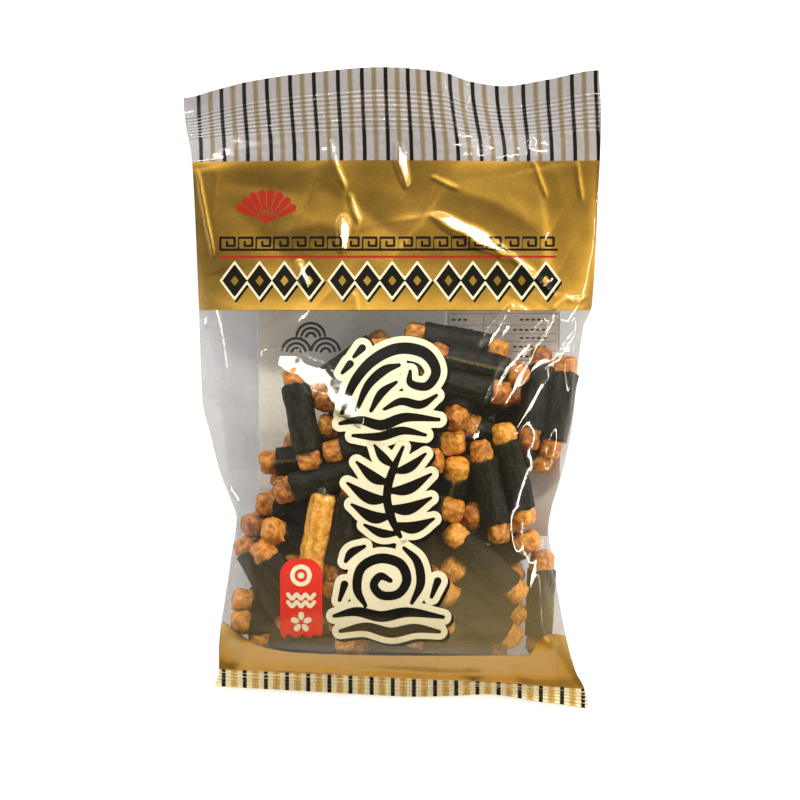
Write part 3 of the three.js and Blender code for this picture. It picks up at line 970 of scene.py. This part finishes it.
def film_sheets():
    """The front and back film as grids of points."""
    across, up = np.meshgrid(ACROSS, UPS)
    x, y, level, rise, fall = form_at(across, up)
    rng = np.random.default_rng(RANDOM_SEED + 2)
    plan = np.stack([x, y], -1)
    crinkle = CRINKLE_HEIGHT * (1 - np.abs(ripple(plan, CRINKLE_SIZE, rng)))
    pucker = PUCKER_HEIGHT * ripple(plan, PUCKER_SIZE, rng)
    on_header = ease(up, BAND_TOP, BAND_TOP + 3)
    crumple = CRUMPLE_HEIGHT * ripple(plan, CRUMPLE_SIZE, rng) * on_header * (1 - ease(up, *TOP_CRIMP))
    creased = crinkle + pucker + crumple
    for path, proud, reach in BROAD_CREASES:
        path = [(px, py - MIDDLE_UP) for px, py in path]
        creased = creased + crease_lift(x, y, path, proud, reach)
    apart = ease(rise + fall, *FILM_APART)
    edge = 1 - np.abs(2 * across - 1) ** 30  # the gap between the films closes at the folds
    shared = level + creased * (1 - apart) + crimp(up)
    front = shared + SEAL_GAP / 2 * edge + rise + creased * apart
    back = shared - SEAL_GAP / 2 * edge - fall
    front = drape(front, heap_reach(x, y, 1))
    back = np.maximum(-drape(-back, heap_reach(x, y, -1)), FLOOR_GAP)
    for path, width, lamp in GLINTS:
        front = glint(front, x, y, path, width, lamp)
    return np.stack([x, y, front], -1), np.stack([x, y, back], -1)


def sheet_normals(sheet):
    """Upward normals of a grid of points."""
    run = np.gradient(sheet, axis=1)
    rise = np.gradient(sheet, axis=0)
    normal = np.cross(run, rise)
    return normal / np.maximum(np.linalg.norm(normal, axis=-1, keepdims=True), 1e-9)


def grid_faces(rows, columns, flip=False):
    """Quads over a grid of points, turned over on a sheet that faces down."""
    i, j = np.meshgrid(np.arange(rows - 1), np.arange(columns - 1), indexing="ij")
    a = (i * columns + j).ravel()
    quads = np.stack([a, a + 1, a + 1 + columns, a + columns], 1)
    return (quads[:, ::-1] if flip else quads).tolist()


FRONT, BACK = film_sheets()
NORMALS = {id(FRONT): sheet_normals(FRONT), id(BACK): -sheet_normals(BACK)}
for name, sheet, material, flip in (
    ("front_film", FRONT, FRONT_FILM, False), ("back_film", BACK, BACK_FILM, True),
):
    faces = grid_faces(len(UPS), COLUMNS + 1, flip)
    pieces.append(add_mesh(name, sheet.reshape(-1, 3), faces, material))

GAP = np.abs(FRONT[..., 2] - BACK[..., 2])


def on_sheet(sheet, across, up, depth):
    """Points at a depth under the film's face, less where the two films come together."""
    under = depth * np.clip(at_place(GAP, across, up) / SEAL_GAP, 0, 1)
    return at_place(sheet, across, up) - under[..., None] * at_place(NORMALS[id(sheet)], across, up)


# A veil of painted warm light and sheen on the front's inside, thickest at the lower right.
LIGHT_VEIL_SPAN = (18, 68)  # heights up the pack
LIGHT_VEIL_ACROSS = (0.03, 0.97)
LIGHT_VEIL_CELLS = 120
LIGHT_VEIL_DEPTH = 0.3
LIGHT_VEIL_STRENGTH = 0.25
LIGHT_VEIL_STARTS = (46, 90)  # how far down the plan it starts and is full
LIGHT_VEIL_RIGHT = (-30, 25)  # and from where to where it thickens to the right
LIGHT_VEIL_LEFT_SHARE = 0.45


def build_light_veil():
    """Painted warm light on the front's inside, most of all at its lower right, behind the print."""
    ups = np.arange(*LIGHT_VEIL_SPAN, 1.0)
    up, across = np.meshgrid(ups, np.linspace(*LIGHT_VEIL_ACROSS, LIGHT_VEIL_CELLS), indexing="ij")
    points = on_sheet(FRONT, across, up, LIGHT_VEIL_DEPTH)
    x, y = points[..., 0], points[..., 1]
    thicker = LIGHT_VEIL_LEFT_SHARE + (1 - LIGHT_VEIL_LEFT_SHARE) * ease(x, *LIGHT_VEIL_RIGHT)
    fog = LIGHT_VEIL_STRENGTH * ease(-y, *LIGHT_VEIL_STARTS) * thicker
    return add_mesh("painted_light_veil", points.reshape(-1, 3), grid_faces(*up.shape), LIGHT_VEIL, fog=fog.ravel())


pieces.append(build_light_veil())


# ---------------------------------------------------------------- the print
# How deep each ink lies under the film's face, in the order in which they are printed.
BLACK_DEPTH, CREAM_DEPTH, SHADOW_DEPTH, GOLD_DEPTH = 0.09, 0.14, 0.18, 0.22
BAND = (144.5, BAND_TOP)  # heights up the pack of the gold band
BOTTOM_STRIPES_TOP = 7.2
LOWER_GOLD = ((-67, -112), (75, -83))  # two corners round it, over the plan
LOWER_GOLD_EDGE = [
    (-66, -84), (-62, -85), (-57, -89), (-47.5, -94.3), (-33.6, -96.6), (3, -97.6), (50, -97.4),
    (54, -91), (58, -89.6), (68, -90.5),
]
BLACK_STRIPES = 18
HEADER_STRIPES = {"first": -69.6, "pitch": 8.53, "wide": 1.35, "tan": 1.9}
# How far the header's stripes lean over at its cut edge, by where they start.
HEADER_LEAN = [(-70, -1.3), (-40, -1.8), (0, -1.0), (22, -3.0), (36, -3.4), (50, -1.9), (76, -1.2)]
BOTTOM_STRIPES = {"first": -61.7, "pitch": 7.75, "wide": 1.4, "tan": 2.6}
TAN_CORE = 0.45  # of a tan stripe's width, printed twice
STRIPE_STEP = 0.5
# How finely a shape is cut out of the ink.
FINE_CUT, SMALL_CUT, CUT, COARSE_CUT, FIELD_CUT = 0.3, 0.4, 0.45, 0.6, 0.8


def strip(batch, sheet, left, right, low, high, depth):
    """A narrow band of ink between two plan distances, which may change with the height up the pack."""
    ups = np.linspace(low, high, max(2, int((high - low) / STRIPE_STEP) + 1))
    up, share = np.meshgrid(ups, np.linspace(0, 1, 3), indexing="ij")
    x = left(up) + (right(up) - left(up)) * share
    points = on_sheet(sheet, across_at(x, up), up, depth)
    batch.add(points.reshape(-1, 3), grid_faces(len(ups), 3, sheet is BACK))


def field_of_ink(batch, sheet, low, high):
    """Ink over the whole width between two heights up the pack, in wider cells on the back."""
    ups = np.concatenate([[low], UPS[(UPS > low) & (UPS < high)], [high]])
    up, across = np.meshgrid(ups, ACROSS[::2] if sheet is BACK else ACROSS, indexing="ij")
    points = on_sheet(sheet, across, up, GOLD_DEPTH)
    batch.add(points.reshape(-1, 3), grid_faces(*up.shape, sheet is BACK))


def cut_out(batch, sheet, field, low, high, step, depth):
    """Ink wherever a field over the plan is negative, cut cleanly along its zero line."""
    xs = np.arange(low[0], high[0] + step, step)
    ys = np.arange(low[1], high[1] + step, step)
    gx, gy = np.meshgrid(xs, ys)
    value = field(gx, gy).ravel()
    value[np.abs(value) < 1e-6] = 1e-6
    plan = np.column_stack([gx.ravel(), gy.ravel()])
    quads = np.array(grid_faces(len(ys), len(xs)))
    corners = np.concatenate([quads[:, [0, 1, 2]], quads[:, [0, 2, 3]]])
    inside = value[corners] < 0
    count = inside.sum(1)
    faces = corners[count == 3].tolist()
    cuts, extra = {}, []

    def crossing(a, b):
        """The new point where an edge crosses the zero line."""
        key = (min(a, b), max(a, b))
        if key not in cuts:
            t = value[a] / (value[a] - value[b])
            cuts[key] = len(plan) + len(extra)
            extra.append(plan[a] * (1 - t) + plan[b] * t)
        return cuts[key]

    mixed = (count == 1) | (count == 2)
    for triangle, within in zip(corners[mixed].tolist(), inside[mixed].tolist()):
        alone = sum(within) == 1
        odd = within.index(alone)
        a, b, c = (triangle[(odd + turn) % 3] for turn in range(3))
        one, two = crossing(a, b), crossing(a, c)
        faces.append((a, one, two) if alone else (one, b, c, two))
    plan = np.concatenate([plan, extra]) if extra else plan
    used = sorted({i for face in faces for i in face})
    renumbered = {old: new for new, old in enumerate(used)}
    order = -1 if sheet is BACK else 1
    faces = [tuple(renumbered[i] for i in face)[::order] for face in faces]
    across, up = sheet_place(*plan[used].T)
    batch.add(on_sheet(sheet, across, up, depth), faces)


def print_stripes(stripe, lean, low, high, black, tan):
    """Black and tan stripes in turn, on both sheets, between two heights up the pack."""
    for i in range(2 * BLACK_STRIPES - 1):
        middle = stripe["first"] + i * stripe["pitch"] / 2
        if i % 2 == 0:
            layers = [(black, stripe["wide"], BLACK_DEPTH)]
        else:  # the tan ones are printed twice, the second time wider, which softens their sides
            layers = [(tan, TAN_CORE * stripe["tan"], BLACK_DEPTH), (tan, stripe["tan"], CREAM_DEPTH)]
        for sheet in (FRONT, BACK):
            for batch, wide, depth in layers:
                strip(
                    batch, sheet,
                    lambda up: middle - wide / 2 + lean(middle) * ease(up, low, high),
                    lambda up: middle + wide / 2 + lean(middle) * ease(up, low, high),
                    low, high, depth,
                )


def lower_gold(x, y):
    """Above 0 outside the lower gold strip, under its curved edge and over the bottom stripes."""
    up = sheet_place(x, y)[1]
    return np.maximum(y - along(LOWER_GOLD_EDGE, x), BOTTOM_STRIPES_TOP - up)


def build_fields():
    """The fields of colour and the stripes, front and back."""
    gold, pale, warm, black, tan, ochre = (Batch() for _ in range(6))
    for sheet in (FRONT, BACK):
        field_of_ink(gold, sheet, *BAND)
        field_of_ink(pale, sheet, BAND[1], LENGTH)
        field_of_ink(warm, sheet, 0, BOTTOM_STRIPES_TOP)
        cut_out(gold, sheet, lower_gold, *LOWER_GOLD, FIELD_CUT, GOLD_DEPTH)
    print_stripes(HEADER_STRIPES, lambda x: along(HEADER_LEAN, x), BAND[1], LENGTH, black, tan)
    print_stripes(BOTTOM_STRIPES, lambda x: 0.0, 0, BOTTOM_STRIPES_TOP, black, ochre)
    return [
        gold.build("gold_bands", GOLD), pale.build("pale_seals", PALE), warm.build("warm_seals", WARM),
        black.build("black_pinstripes", BLACK), tan.build("tan_pinstripes", TAN),
        ochre.build("ochre_pinstripes", OCHRE),
    ]


# Three brush motifs stacked down the window. Each stroke is a path of (x, y, half width) from the
# motif's middle.
WAVE = ((-0.6, 0.4), [
    [(-17.6, -9.6, 0.8), (-13.4, 1.4, 1.7), (-6.4, 9.8, 2.0), (3.0, 14.2, 2.1), (12.4, 12.6, 2.1),
     (16.6, 6.2, 1.8), (13.4, 0.6, 1.6), (7.4, 1.6, 1.3), (7.2, 6.0, 0.6)],
    [(-12.2, -8.2, 0.7), (-8.2, 0.6, 1.5), (-2.4, 6.2, 1.7), (3.2, 8.2, 0.7)],
    [(-7.0, -8.4, 0.7), (-3.2, -2.0, 1.5), (2.2, 2.0, 0.6)],
    [(-2.2, -7.8, 0.6), (4.0, -5.0, 1.4), (11.0, -6.2, 1.5), (16.8, -2.8, 0.6)],
    [(-18.2, -13.0, 0.7), (-11.0, -11.8, 1.5), (-3.2, -13.6, 1.9), (5.6, -10.8, 1.7), (17.6, -11.6, 0.7)],
    [(-13.6, -17.4, 0.6), (-4.0, -17.8, 1.6), (4.4, -15.6, 1.5), (12.8, -17.2, 0.6)],
    [(-17.4, 5.4, 0.7), (-14.6, 8.6, 1.4)], [(-13.2, 11.2, 0.7), (-10.2, 14.4, 1.4)],
])
SPRIG = ((-0.4, -36.8), [
    [(3.4, -16.8, 0.8), (0.2, -10.0, 1.5), (-1.4, -2.0, 1.5), (0.4, 6.4, 1.4), (4.4, 15.6, 0.6)],
    [(2.8, -15.8, 0.6), (-3.4, -15.6, 1.6), (-9.6, -12.6, 0.5)],
    [(1.6, -12.4, 0.8), (8.2, -13.6, 2.2), (15.6, -10.4, 0.5)],
    [(-0.2, -9.4, 0.8), (-6.4, -9.8, 2.2), (-14.2, -5.2, 0.5)],
    [(-0.6, -6.4, 0.8), (6.2, -6.8, 2.2), (14.6, -2.8, 0.5)],
    [(-1.2, -3.4, 0.8), (-7.8, -2.8, 2.2), (-15.8, 2.6, 0.5)],
    [(-1.0, -0.4, 0.8), (6.4, 0.6, 2.1), (14.6, 5.8, 0.5)],
    [(-0.8, 2.6, 0.7), (-6.2, 4.6, 2.0), (-12.4, 10.2, 0.5)],
    [(0.8, 6.6, 0.6), (6.6, 8.2, 1.8), (12.6, 13.2, 0.5)],
    [(1.2, 8.6, 0.6), (-2.8, 11.8, 1.7), (-6.0, 16.4, 0.4)],
])
ROLL = ((-1.2, -73.2), [
    [(0.6, 3.6, 0.9), (-3.0, 5.2, 1.4), (-5.4, 1.8, 1.5), (-2.4, -1.8, 1.6), (3.6, -1.2, 1.6),
     (6.6, 4.0, 1.7), (4.0, 9.8, 1.8), (-3.4, 11.6, 1.8), (-10.0, 8.0, 1.7), (-11.4, 0.4, 1.6),
     (-8.4, -5.6, 0.7)],
    [(8.4, -4.6, 0.7), (11.6, 2.6, 1.6), (10.4, 10.4, 1.5), (5.6, 15.4, 0.7)],
    [(-15.6, 10.6, 0.7), (-13.4, 13.8, 1.5), (-8.8, 16.0, 0.7)],
    [(-19.8, -9.4, 0.7), (-11.6, -7.8, 1.7), (-2.6, -9.6, 2.0), (7.0, -8.0, 1.8), (19.8, -9.8, 0.7)],
    [(-17.6, -15.0, 0.7), (-8.4, -13.4, 1.6), (0.8, -15.6, 1.9), (9.6, -14.0, 1.7), (18.4, -15.2, 0.7)],
    [(15.6, -2.4, 0.7), (17.8, 3.4, 1.4)], [(-17.8, -3.6, 0.7), (-16.0, 2.2, 1.4)],
])
MOTIF_REACH = ((-25, -24), (26, 22))  # two corners round a motif, from its middle
OUTLINE = 2.3
BRUSH_SHADOW = (0.9, -1.1)


def smooth_path(path, pieces=8):
    """A stroke's path with points added along a curve through its own."""
    path = np.array(path, float)
    ends = np.concatenate([[2 * path[0] - path[1]], path, [2 * path[-1] - path[-2]]])
    made = []
    for a, b, c, d in zip(ends[:-3], ends[1:-2], ends[2:-1], ends[3:]):
        t = np.linspace(0, 1, pieces, endpoint=False)[:, None]
        made.append(b + 0.5 * t * (c - a + t * (2 * a - 5 * b + 4 * c - d + t * (3 * (b - c) + d - a))))
    return np.concatenate(made + [path[-1:]])


def brushed(x, y, strokes, pieces=8):
    """How far a place lies outside the nearest brush stroke."""
    best = np.full(np.shape(x), np.inf)
    for path in strokes:
        fine = smooth_path(path, pieces)
        for (x0, y0, w0), (x1, y1, w1) in zip(fine[:-1], fine[1:]):
            length = (x1 - x0) ** 2 + (y1 - y0) ** 2
            t = np.clip(((x - x0) * (x1 - x0) + (y - y0) * (y1 - y0)) / length, 0, 1)
            distance = np.hypot(x - x0 - t * (x1 - x0), y - y0 - t * (y1 - y0))
            best = np.minimum(best, distance - w0 - t * (w1 - w0))
    return best


def lozenge(x, y, half_wide, half_high):
    """How far a place lies outside an upright lozenge."""
    beyond = np.abs(x) * half_high + np.abs(y) * half_wide - half_wide * half_high
    return beyond / math.hypot(half_wide, half_high)


# The ornament where a title would be: groups of lozenges, each with a small one left open in it.
ORNAMENT = [(-57.4, 9.1, 4), (-18.1, 9.1, 4), (20.6, 8.9, 5)]  # first x, pitch and count of each group
ORNAMENT_LEVEL = 39.4
ORNAMENT_REACH = ((-64, ORNAMENT_LEVEL - 9), (62, ORNAMENT_LEVEL + 8))
LOZENGE = (4.5, 6.0)
LOZENGE_INSET = 2.4  # from its edge to the one left open in it
LOZENGE_OUTLINE = 0.8
OUTLINE_LAP = 0.5  # how far the outline runs under the black
LOZENGE_SHADOW = (0.6, -0.8)

BORDER = (-62.6, 60.2, 19, 52.9)  # a running fret: from, to, count of turns and level
BORDER_REACH = ((-64, 49), (62, 56))
FRET = [
    [(-3.2, -2.2, 0.4), (-3.2, 2.2, 0.4), (2.0, 2.2, 0.4), (2.0, -0.8, 0.4), (-0.8, -0.8, 0.4),
     (-0.8, 0.7, 0.4)],
    [(-3.2, -2.2, 0.4), (3.2, -2.2, 0.4)],
]
RULE = (-62.8, 60.0, 48.1, 0.8)  # a thin red line: from, to, level and thickness
RULE_REACH = ((-64, 46.9), (62, 49.3))

FAN = (-45.8, 60.4)  # its pivot
FAN_LEAF = (5.2, 12.0)  # from the pivot to the leaf's inner and outer edge
FAN_FOLDS = 8
FAN_HALF_TURN = math.radians(68)
FAN_REACH = ((-58, 58), (-33, 74))

TABLET = (-33.0, -76.2)
TABLET_HALF = (7.7, 14.6)
TABLET_CORNERS = (6.2, 2.4)  # their radius at its top and at its foot
TABLET_REACH = ((-42, -92), (-24, -61))
MARKS_REACH = ((-41, -91), (-25, -61.5))


def ring(x, y, radius, half_wide, turn=(0.0, 2.0)):
    """A round stroke, from one angle to another in half turns."""
    angles = np.linspace(*turn, 9) * math.pi
    return [(x + radius * math.cos(a), y + radius * math.sin(a), half_wide) for a in angles]


def ripple_line(y, half_wide):
    """A level wavy stroke across the tablet."""
    return [(1.6 * i, y + (0.9 if i % 2 else -0.7), half_wide) for i in range(-3, 4)]


def petal(x, y, turn):
    """A short stroke that widens away from a middle."""
    way = math.cos(turn), math.sin(turn)
    return [(x + r * way[0], y + r * way[1], w) for r, w in ((1.2, 0.4), (2.1, 1.0), (2.9, 1.0))]


# From the tablet's middle: a ring round a dot, two ripples and a five-petalled blossom.
TABLET_MARKS = [
    [ring(0, 8.4, 3.2, 0.8), [(-0.1, 8.4, 1.1), (0.1, 8.4, 1.1)]],
    [ripple_line(0.6, 0.7), ripple_line(-2.2, 0.7)],
    [petal(0, -8.8, (0.5 + 0.4 * i) * math.pi) for i in range(5)],
]


def ornament(x, y):
    """How far a place lies outside the nearest lozenge of the groups."""
    best = np.full(np.shape(x), np.inf)
    for first, pitch, count in ORNAMENT:
        for i in range(count):
            best = np.minimum(best, lozenge(x - first - i * pitch, y - ORNAMENT_LEVEL, *LOZENGE))
    return best


def border(x, y):
    """How far a place lies outside the running fret."""
    start, end, count, level = BORDER
    pitch = (end - start) / count
    turn = np.clip(np.floor((x - start) / pitch), 0, count - 1)
    return brushed(x - start - (turn + 0.5) * pitch, y - level, FRET, pieces=1)


def rule(x, y):
    """How far a place lies outside the thin line."""
    start, end, level, thick = RULE
    return np.maximum(np.abs(y - level) - thick / 2, np.abs(x - (start + end) / 2) - (end - start) / 2)


def fan(x, y):
    """An open folding fan: a pleated leaf on thin ribs."""
    radius = np.hypot(x - FAN[0], y - FAN[1])
    turn = np.arctan2(x - FAN[0], y - FAN[1])
    fold = turn / (2 * FAN_HALF_TURN) * FAN_FOLDS
    off_fold = np.abs(fold - np.round(fold)) * 2 * FAN_HALF_TURN / FAN_FOLDS * radius
    scallop = 0.5 * np.cos(2 * math.pi * fold + math.pi)
    edges = np.maximum(FAN_LEAF[0] - radius, radius - FAN_LEAF[1] - scallop)
    leaf = np.maximum(edges, 0.22 - off_fold)
    rib = np.maximum(off_fold - 0.3, radius - FAN_LEAF[0] - 0.3)
    return np.maximum(np.minimum(leaf, rib), (np.abs(turn) - FAN_HALF_TURN) * radius)


def tablet(x, y):
    """A seal's red tablet: a round top and a dry-brushed foot."""
    u, v = x - TABLET[0], y - TABLET[1]
    corner = np.where(v > 0, *TABLET_CORNERS)
    over = np.stack([np.abs(u) - TABLET_HALF[0] + corner, np.abs(v) - TABLET_HALF[1] + corner])
    body = np.hypot(*np.maximum(over, 0)) + np.minimum(np.max(over, axis=0), 0) - corner
    ragged = 0.7 + 0.5 * np.sin(1.3 * u + 1) + 0.3 * np.sin(3.4 * u)
    return np.maximum(body, -v - TABLET_HALF[1] + ragged)


def opened(x, y):
    """The lozenges, each with a small one left open in it."""
    return np.maximum(ornament(x, y), -LOZENGE_INSET - ornament(x, y))


def edged(x, y):
    """The outline round the lozenges."""
    return np.maximum(ornament(x, y) - LOZENGE_OUTLINE, -OUTLINE_LAP - ornament(x, y))


def build_artwork():
    """What is drawn on the front: brushwork, ornament, border, rule, fan and tablet."""
    black, cream, shadow, red, red_on_gold = (Batch() for _ in range(5))
    for (mx, my), strokes in (WAVE, SPRIG, ROLL):
        low, high = ((mx + rx, my + ry) for rx, ry in MOTIF_REACH)
        for batch, depth, grow, (sx, sy), step in (
            (black, BLACK_DEPTH, 0, (0, 0), CUT), (cream, CREAM_DEPTH, OUTLINE, (0, 0), CUT),
            (shadow, SHADOW_DEPTH, OUTLINE, BRUSH_SHADOW, COARSE_CUT),
        ):
            cut_out(
                batch, FRONT, lambda x, y: brushed(x - mx - sx, y - my - sy, strokes) - grow,
                low, high, step, depth,
            )
    cut_out(black, FRONT, opened, *ORNAMENT_REACH, CUT, BLACK_DEPTH)
    cut_out(cream, FRONT, edged, *ORNAMENT_REACH, CUT, CREAM_DEPTH)
    sx, sy = LOZENGE_SHADOW
    cut_out(shadow, FRONT, lambda x, y: edged(x - sx, y - sy), *ORNAMENT_REACH, CUT, SHADOW_DEPTH)
    cut_out(black, FRONT, border, *BORDER_REACH, SMALL_CUT, BLACK_DEPTH)
    cut_out(red_on_gold, FRONT, rule, *RULE_REACH, SMALL_CUT, CREAM_DEPTH)
    cut_out(red_on_gold, FRONT, fan, *FAN_REACH, FINE_CUT, CREAM_DEPTH)
    cut_out(red, FRONT, tablet, *TABLET_REACH, CUT, CREAM_DEPTH)
    for mark in TABLET_MARKS:
        cut_out(
            cream, FRONT, lambda x, y: brushed(x - TABLET[0], y - TABLET[1], mark),
            *MARKS_REACH, FINE_CUT, BLACK_DEPTH,
        )
    return [
        black.build("black_brushwork", BLACK), cream.build("cream_outlines", CREAM),
        shadow.build("black_shadows", BLACK), red.build("red_print", RED),
        red_on_gold.build("red_on_gold", RED_ON_GOLD),
    ]


# The print on the back, whose inner side shows through the window: each panel from left to right,
# and the height up the pack where it starts.
BACK_LABEL = ((-48.9, 19.3), 16)
BACK_TABLE = ((20.1, 61.5), 62)
BACK_LAP = ((-62.0, -49.6), 86)
BACK_CELL = 1.0
TABLE_RULES = (27.4, 23.2, 20.0, 17.2, 13.6, 10.2, 6.8, 3.0, -1.0, -5.0, -9.0, -13.0, -17.0)
TABLE_COLUMNS = (20.6, 33.4, 61.0)
TABLE_MIDDLE = (40.6, 5.2)
TABLE_HALF = (20, 22.2)  # half the length of its rules, across and up
TABLE_REACH = ((20, -18), (62, 28.4))
HALF_RULE = 0.22
RULE_ROOM = 0.8  # searched to each side of a rule when it is cut out
DASH_PITCH = 2.1
DASH_HALF = (0.7, 0.36)
BACK_CUT, DASH_CUT = 0.5, 0.35
DASHES_REACH = ((20, -16), (62, 27))
SCALES = ((-35.2, 13.2), (-24.4, 13.2), (-29.8, 18.8))  # wave scales: two below and one above
SCALE_RADII = (1.7, 3.5, 5.3)
SCALES_REACH = ((-42, 6), (-18, 28))
BACK_MARKS = [ring(x, y, radius, 0.5, turn=(0.06, 0.94)) for x, y in SCALES for radius in SCALE_RADII]


def table_dashes(x, y):
    """Rows of short dashes that stand in for the table's entries."""
    best = np.full(np.shape(x), np.inf)
    for row, level in enumerate(TABLE_RULES[:-1]):
        middle = (level + TABLE_RULES[row + 1]) / 2
        for start, count in ((21.6, 3 + row % 3), (46.5 - 2.4 * (row % 2), 5 + row % 2)):
            along_row = x - start
            dash = np.clip(np.floor(along_row / DASH_PITCH), 0, count - 1)
            off = np.abs(along_row - (dash + 0.5) * DASH_PITCH) - DASH_HALF[0]
            best = np.minimum(best, np.maximum(off, np.abs(y - middle) - DASH_HALF[1]))
    return best


def table_bar(x, y, middle, half):
    """How far a place lies outside a bar of the table."""
    return np.maximum(np.abs(x - middle[0]) - half[0], np.abs(y - middle[1]) - half[1])


def build_back_print():
    """The label, the table and the lap seal's cloud, and the dark print twice over, so it covers."""
    label, table, lap, dark = (Batch() for _ in range(4))
    for batch, ((left, right), low) in ((label, BACK_LABEL), (table, BACK_TABLE), (lap, BACK_LAP)):
        ups = np.linspace(low, BAND[0], round((BAND[0] - low) / BACK_CELL))
        places = np.linspace(left, right, round((right - left) / BACK_CELL))
        up, x = np.meshgrid(ups, places, indexing="ij")
        points = on_sheet(BACK, across_at(x, up), up, CREAM_DEPTH)
        batch.add(points.reshape(-1, 3), grid_faces(*x.shape, flip=True))
    (left, bottom), (right, top) = TABLE_REACH
    for depth in (BLACK_DEPTH, SHADOW_DEPTH):
        for level in TABLE_RULES:
            middle, half = (TABLE_MIDDLE[0], level), (TABLE_HALF[0], HALF_RULE)
            cut_out(
                dark, BACK, lambda x, y: table_bar(x, y, middle, half),
                (left, level - RULE_ROOM), (right, level + RULE_ROOM), BACK_CUT, depth,
            )
        for side in TABLE_COLUMNS:
            middle, half = (side, TABLE_MIDDLE[1]), (HALF_RULE, TABLE_HALF[1])
            cut_out(
                dark, BACK, lambda x, y: table_bar(x, y, middle, half),
                (side - RULE_ROOM, bottom), (side + RULE_ROOM, top), BACK_CUT, depth,
            )
        cut_out(dark, BACK, lambda x, y: brushed(x, y, BACK_MARKS), *SCALES_REACH, BACK_CUT, depth)
        cut_out(dark, BACK, table_dashes, *DASHES_REACH, DASH_CUT, depth)
    return [
        label.build("back_label", LABEL), table.build("back_table", TABLE), lap.build("back_lap", LAP),
        dark.build("back_rules", BACK_DARK),
    ]


pieces += build_fields() + build_artwork() + build_back_print()


# ---------------------------------------------------------------- camera, stage and lights
# In metres, where no comment says otherwise.
PIXEL = 0.365 * MM  # on the plane of the folds
FOLD_PLANE = 0.015
PICTURE = 800  # pixels to a side
PACK_PIXEL = (392, 388.7)  # where the frame's origin falls in it
SENSOR = 36  # its width and the lens are in millimetres
FLOOR_HALF = 1500  # in millimetres
FLOOR_GLOW = 0.45
# The studio round the pack: pale low down and dim overhead, brighter on the left than on the
# right, with a warm glow low at the near side.
SKY = [(0.25, "#ffffff"), (1.0, "#4b4a49"), (0.65, "#868583")]
SKY_TILT = (0.0, -0.5, 1.0)
SKY_STRENGTH = 1.17
GLOW_WAY = (0.0, -0.99, 0.15)
GLOW_FROM = 0.78
GLOW_COLOUR = "#ffdc9a"
GLOW_STRENGTH = 0.9
SIDES = {"From Min": -0.7, "From Max": 0.7, "To Min": 1.2, "To Max": 0.72}


def add_camera():
    """A long lens straight above, on the pack's place in the picture."""
    camera = bpy.data.objects.new("camera", bpy.data.cameras.new("camera"))
    bpy.context.scene.collection.objects.link(camera)
    camera.data.sensor_width = SENSOR
    reach = CAMERA_HEIGHT - FOLD_PLANE
    camera.data.lens = SENSOR * reach / (PICTURE * PIXEL)
    shift_x = (PICTURE / 2 - PACK_PIXEL[0]) * PIXEL
    shift_y = (PACK_PIXEL[1] - PICTURE / 2) * PIXEL
    camera.location = (shift_x, shift_y, CAMERA_HEIGHT)
    camera.data.clip_end = 10
    bpy.context.scene.camera = camera


def add_lamp(name, place, long, power):
    """A strip lamp that points at the pack."""
    light = bpy.data.lights.new(name, "AREA")
    light.shape = "RECTANGLE"
    light.size, light.size_y = long, LAMP_WIDE
    light.energy = power
    light.color = linear(LAMP_COLOUR)[:3]
    made = bpy.data.objects.new(name, light)
    bpy.context.scene.collection.objects.link(made)
    made.location = place
    toward = -np.array(place, float)
    made.rotation_euler = Vector(toward).to_track_quat("-Z", "Y").to_euler()


def add_floor():
    """White paper under the pack, lit a little from within so that it stays white."""
    material, tree = new_material("white paper sweep")
    grain = add_node(tree, "TexNoise", {"Scale": per_mm(2.5), "Detail": 2})
    colour = shades(tree, grain.outputs["Fac"], [(0.3, "#fbfbfb"), (0.7, "#ffffff")])
    shader = add_node(tree, "BsdfPrincipled", {
        "Base Color": colour, "Roughness": 0.9, "Emission Color": (1, 1, 1, 1),
        "Emission Strength": FLOOR_GLOW,
    })
    finish(tree, shader.outputs[0])
    corners = [(FLOOR_HALF * x, FLOOR_HALF * y, 0) for x, y in ((-1, -1), (1, -1), (1, 1), (-1, 1))]
    floor = add_mesh("floor", corners, [(0, 1, 2, 3)], material)


def add_studio():
    """The soft light all round."""
    world = bpy.data.worlds.new("studio")
    world.use_nodes = True
    tree = world.node_tree
    way = add_node(tree, "TexCoord").outputs["Generated"]
    overhead = add_node(tree, "VectorMath", {0: way, 1: SKY_TILT}, operation="DOT_PRODUCT")
    sky = shades(tree, overhead.outputs["Value"], SKY)
    near = add_node(tree, "VectorMath", {0: way, 1: GLOW_WAY}, operation="DOT_PRODUCT")
    glow = add_node(tree, "MapRange", {
        "Value": near.outputs["Value"], "From Min": GLOW_FROM, "From Max": 1.0,
    }, interpolation_type="SMOOTHSTEP")
    colour = add_node(tree, "Mix", {0: glow.outputs[0], 6: sky, 7: linear(GLOW_COLOUR)}, data_type="RGBA")
    strength = add_node(tree, "Math", {
        0: glow.outputs[0], 1: GLOW_STRENGTH, 2: SKY_STRENGTH,
    }, operation="MULTIPLY_ADD")
    to_right = add_node(tree, "SeparateXYZ", {0: way}).outputs["X"]
    side = add_node(tree, "MapRange", {"Value": to_right, **SIDES})
    strength = add_node(tree, "Math", {0: strength.outputs[0], 1: side.outputs[0]}, operation="MULTIPLY")
    tree.links.new(colour.outputs[2], tree.nodes["Background"].inputs["Color"])
    tree.links.new(strength.outputs[0], tree.nodes["Background"].inputs["Strength"])
    bpy.context.scene.world = world
    bpy.context.scene.view_settings.view_transform = "Standard"


add_camera()
add_floor()
add_studio()
for name, (place, long, power) in LAMPS.items():
    add_lamp(name + " strip", place, long, power)

for piece in pieces:
    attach(piece, "root")
    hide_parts("pack")
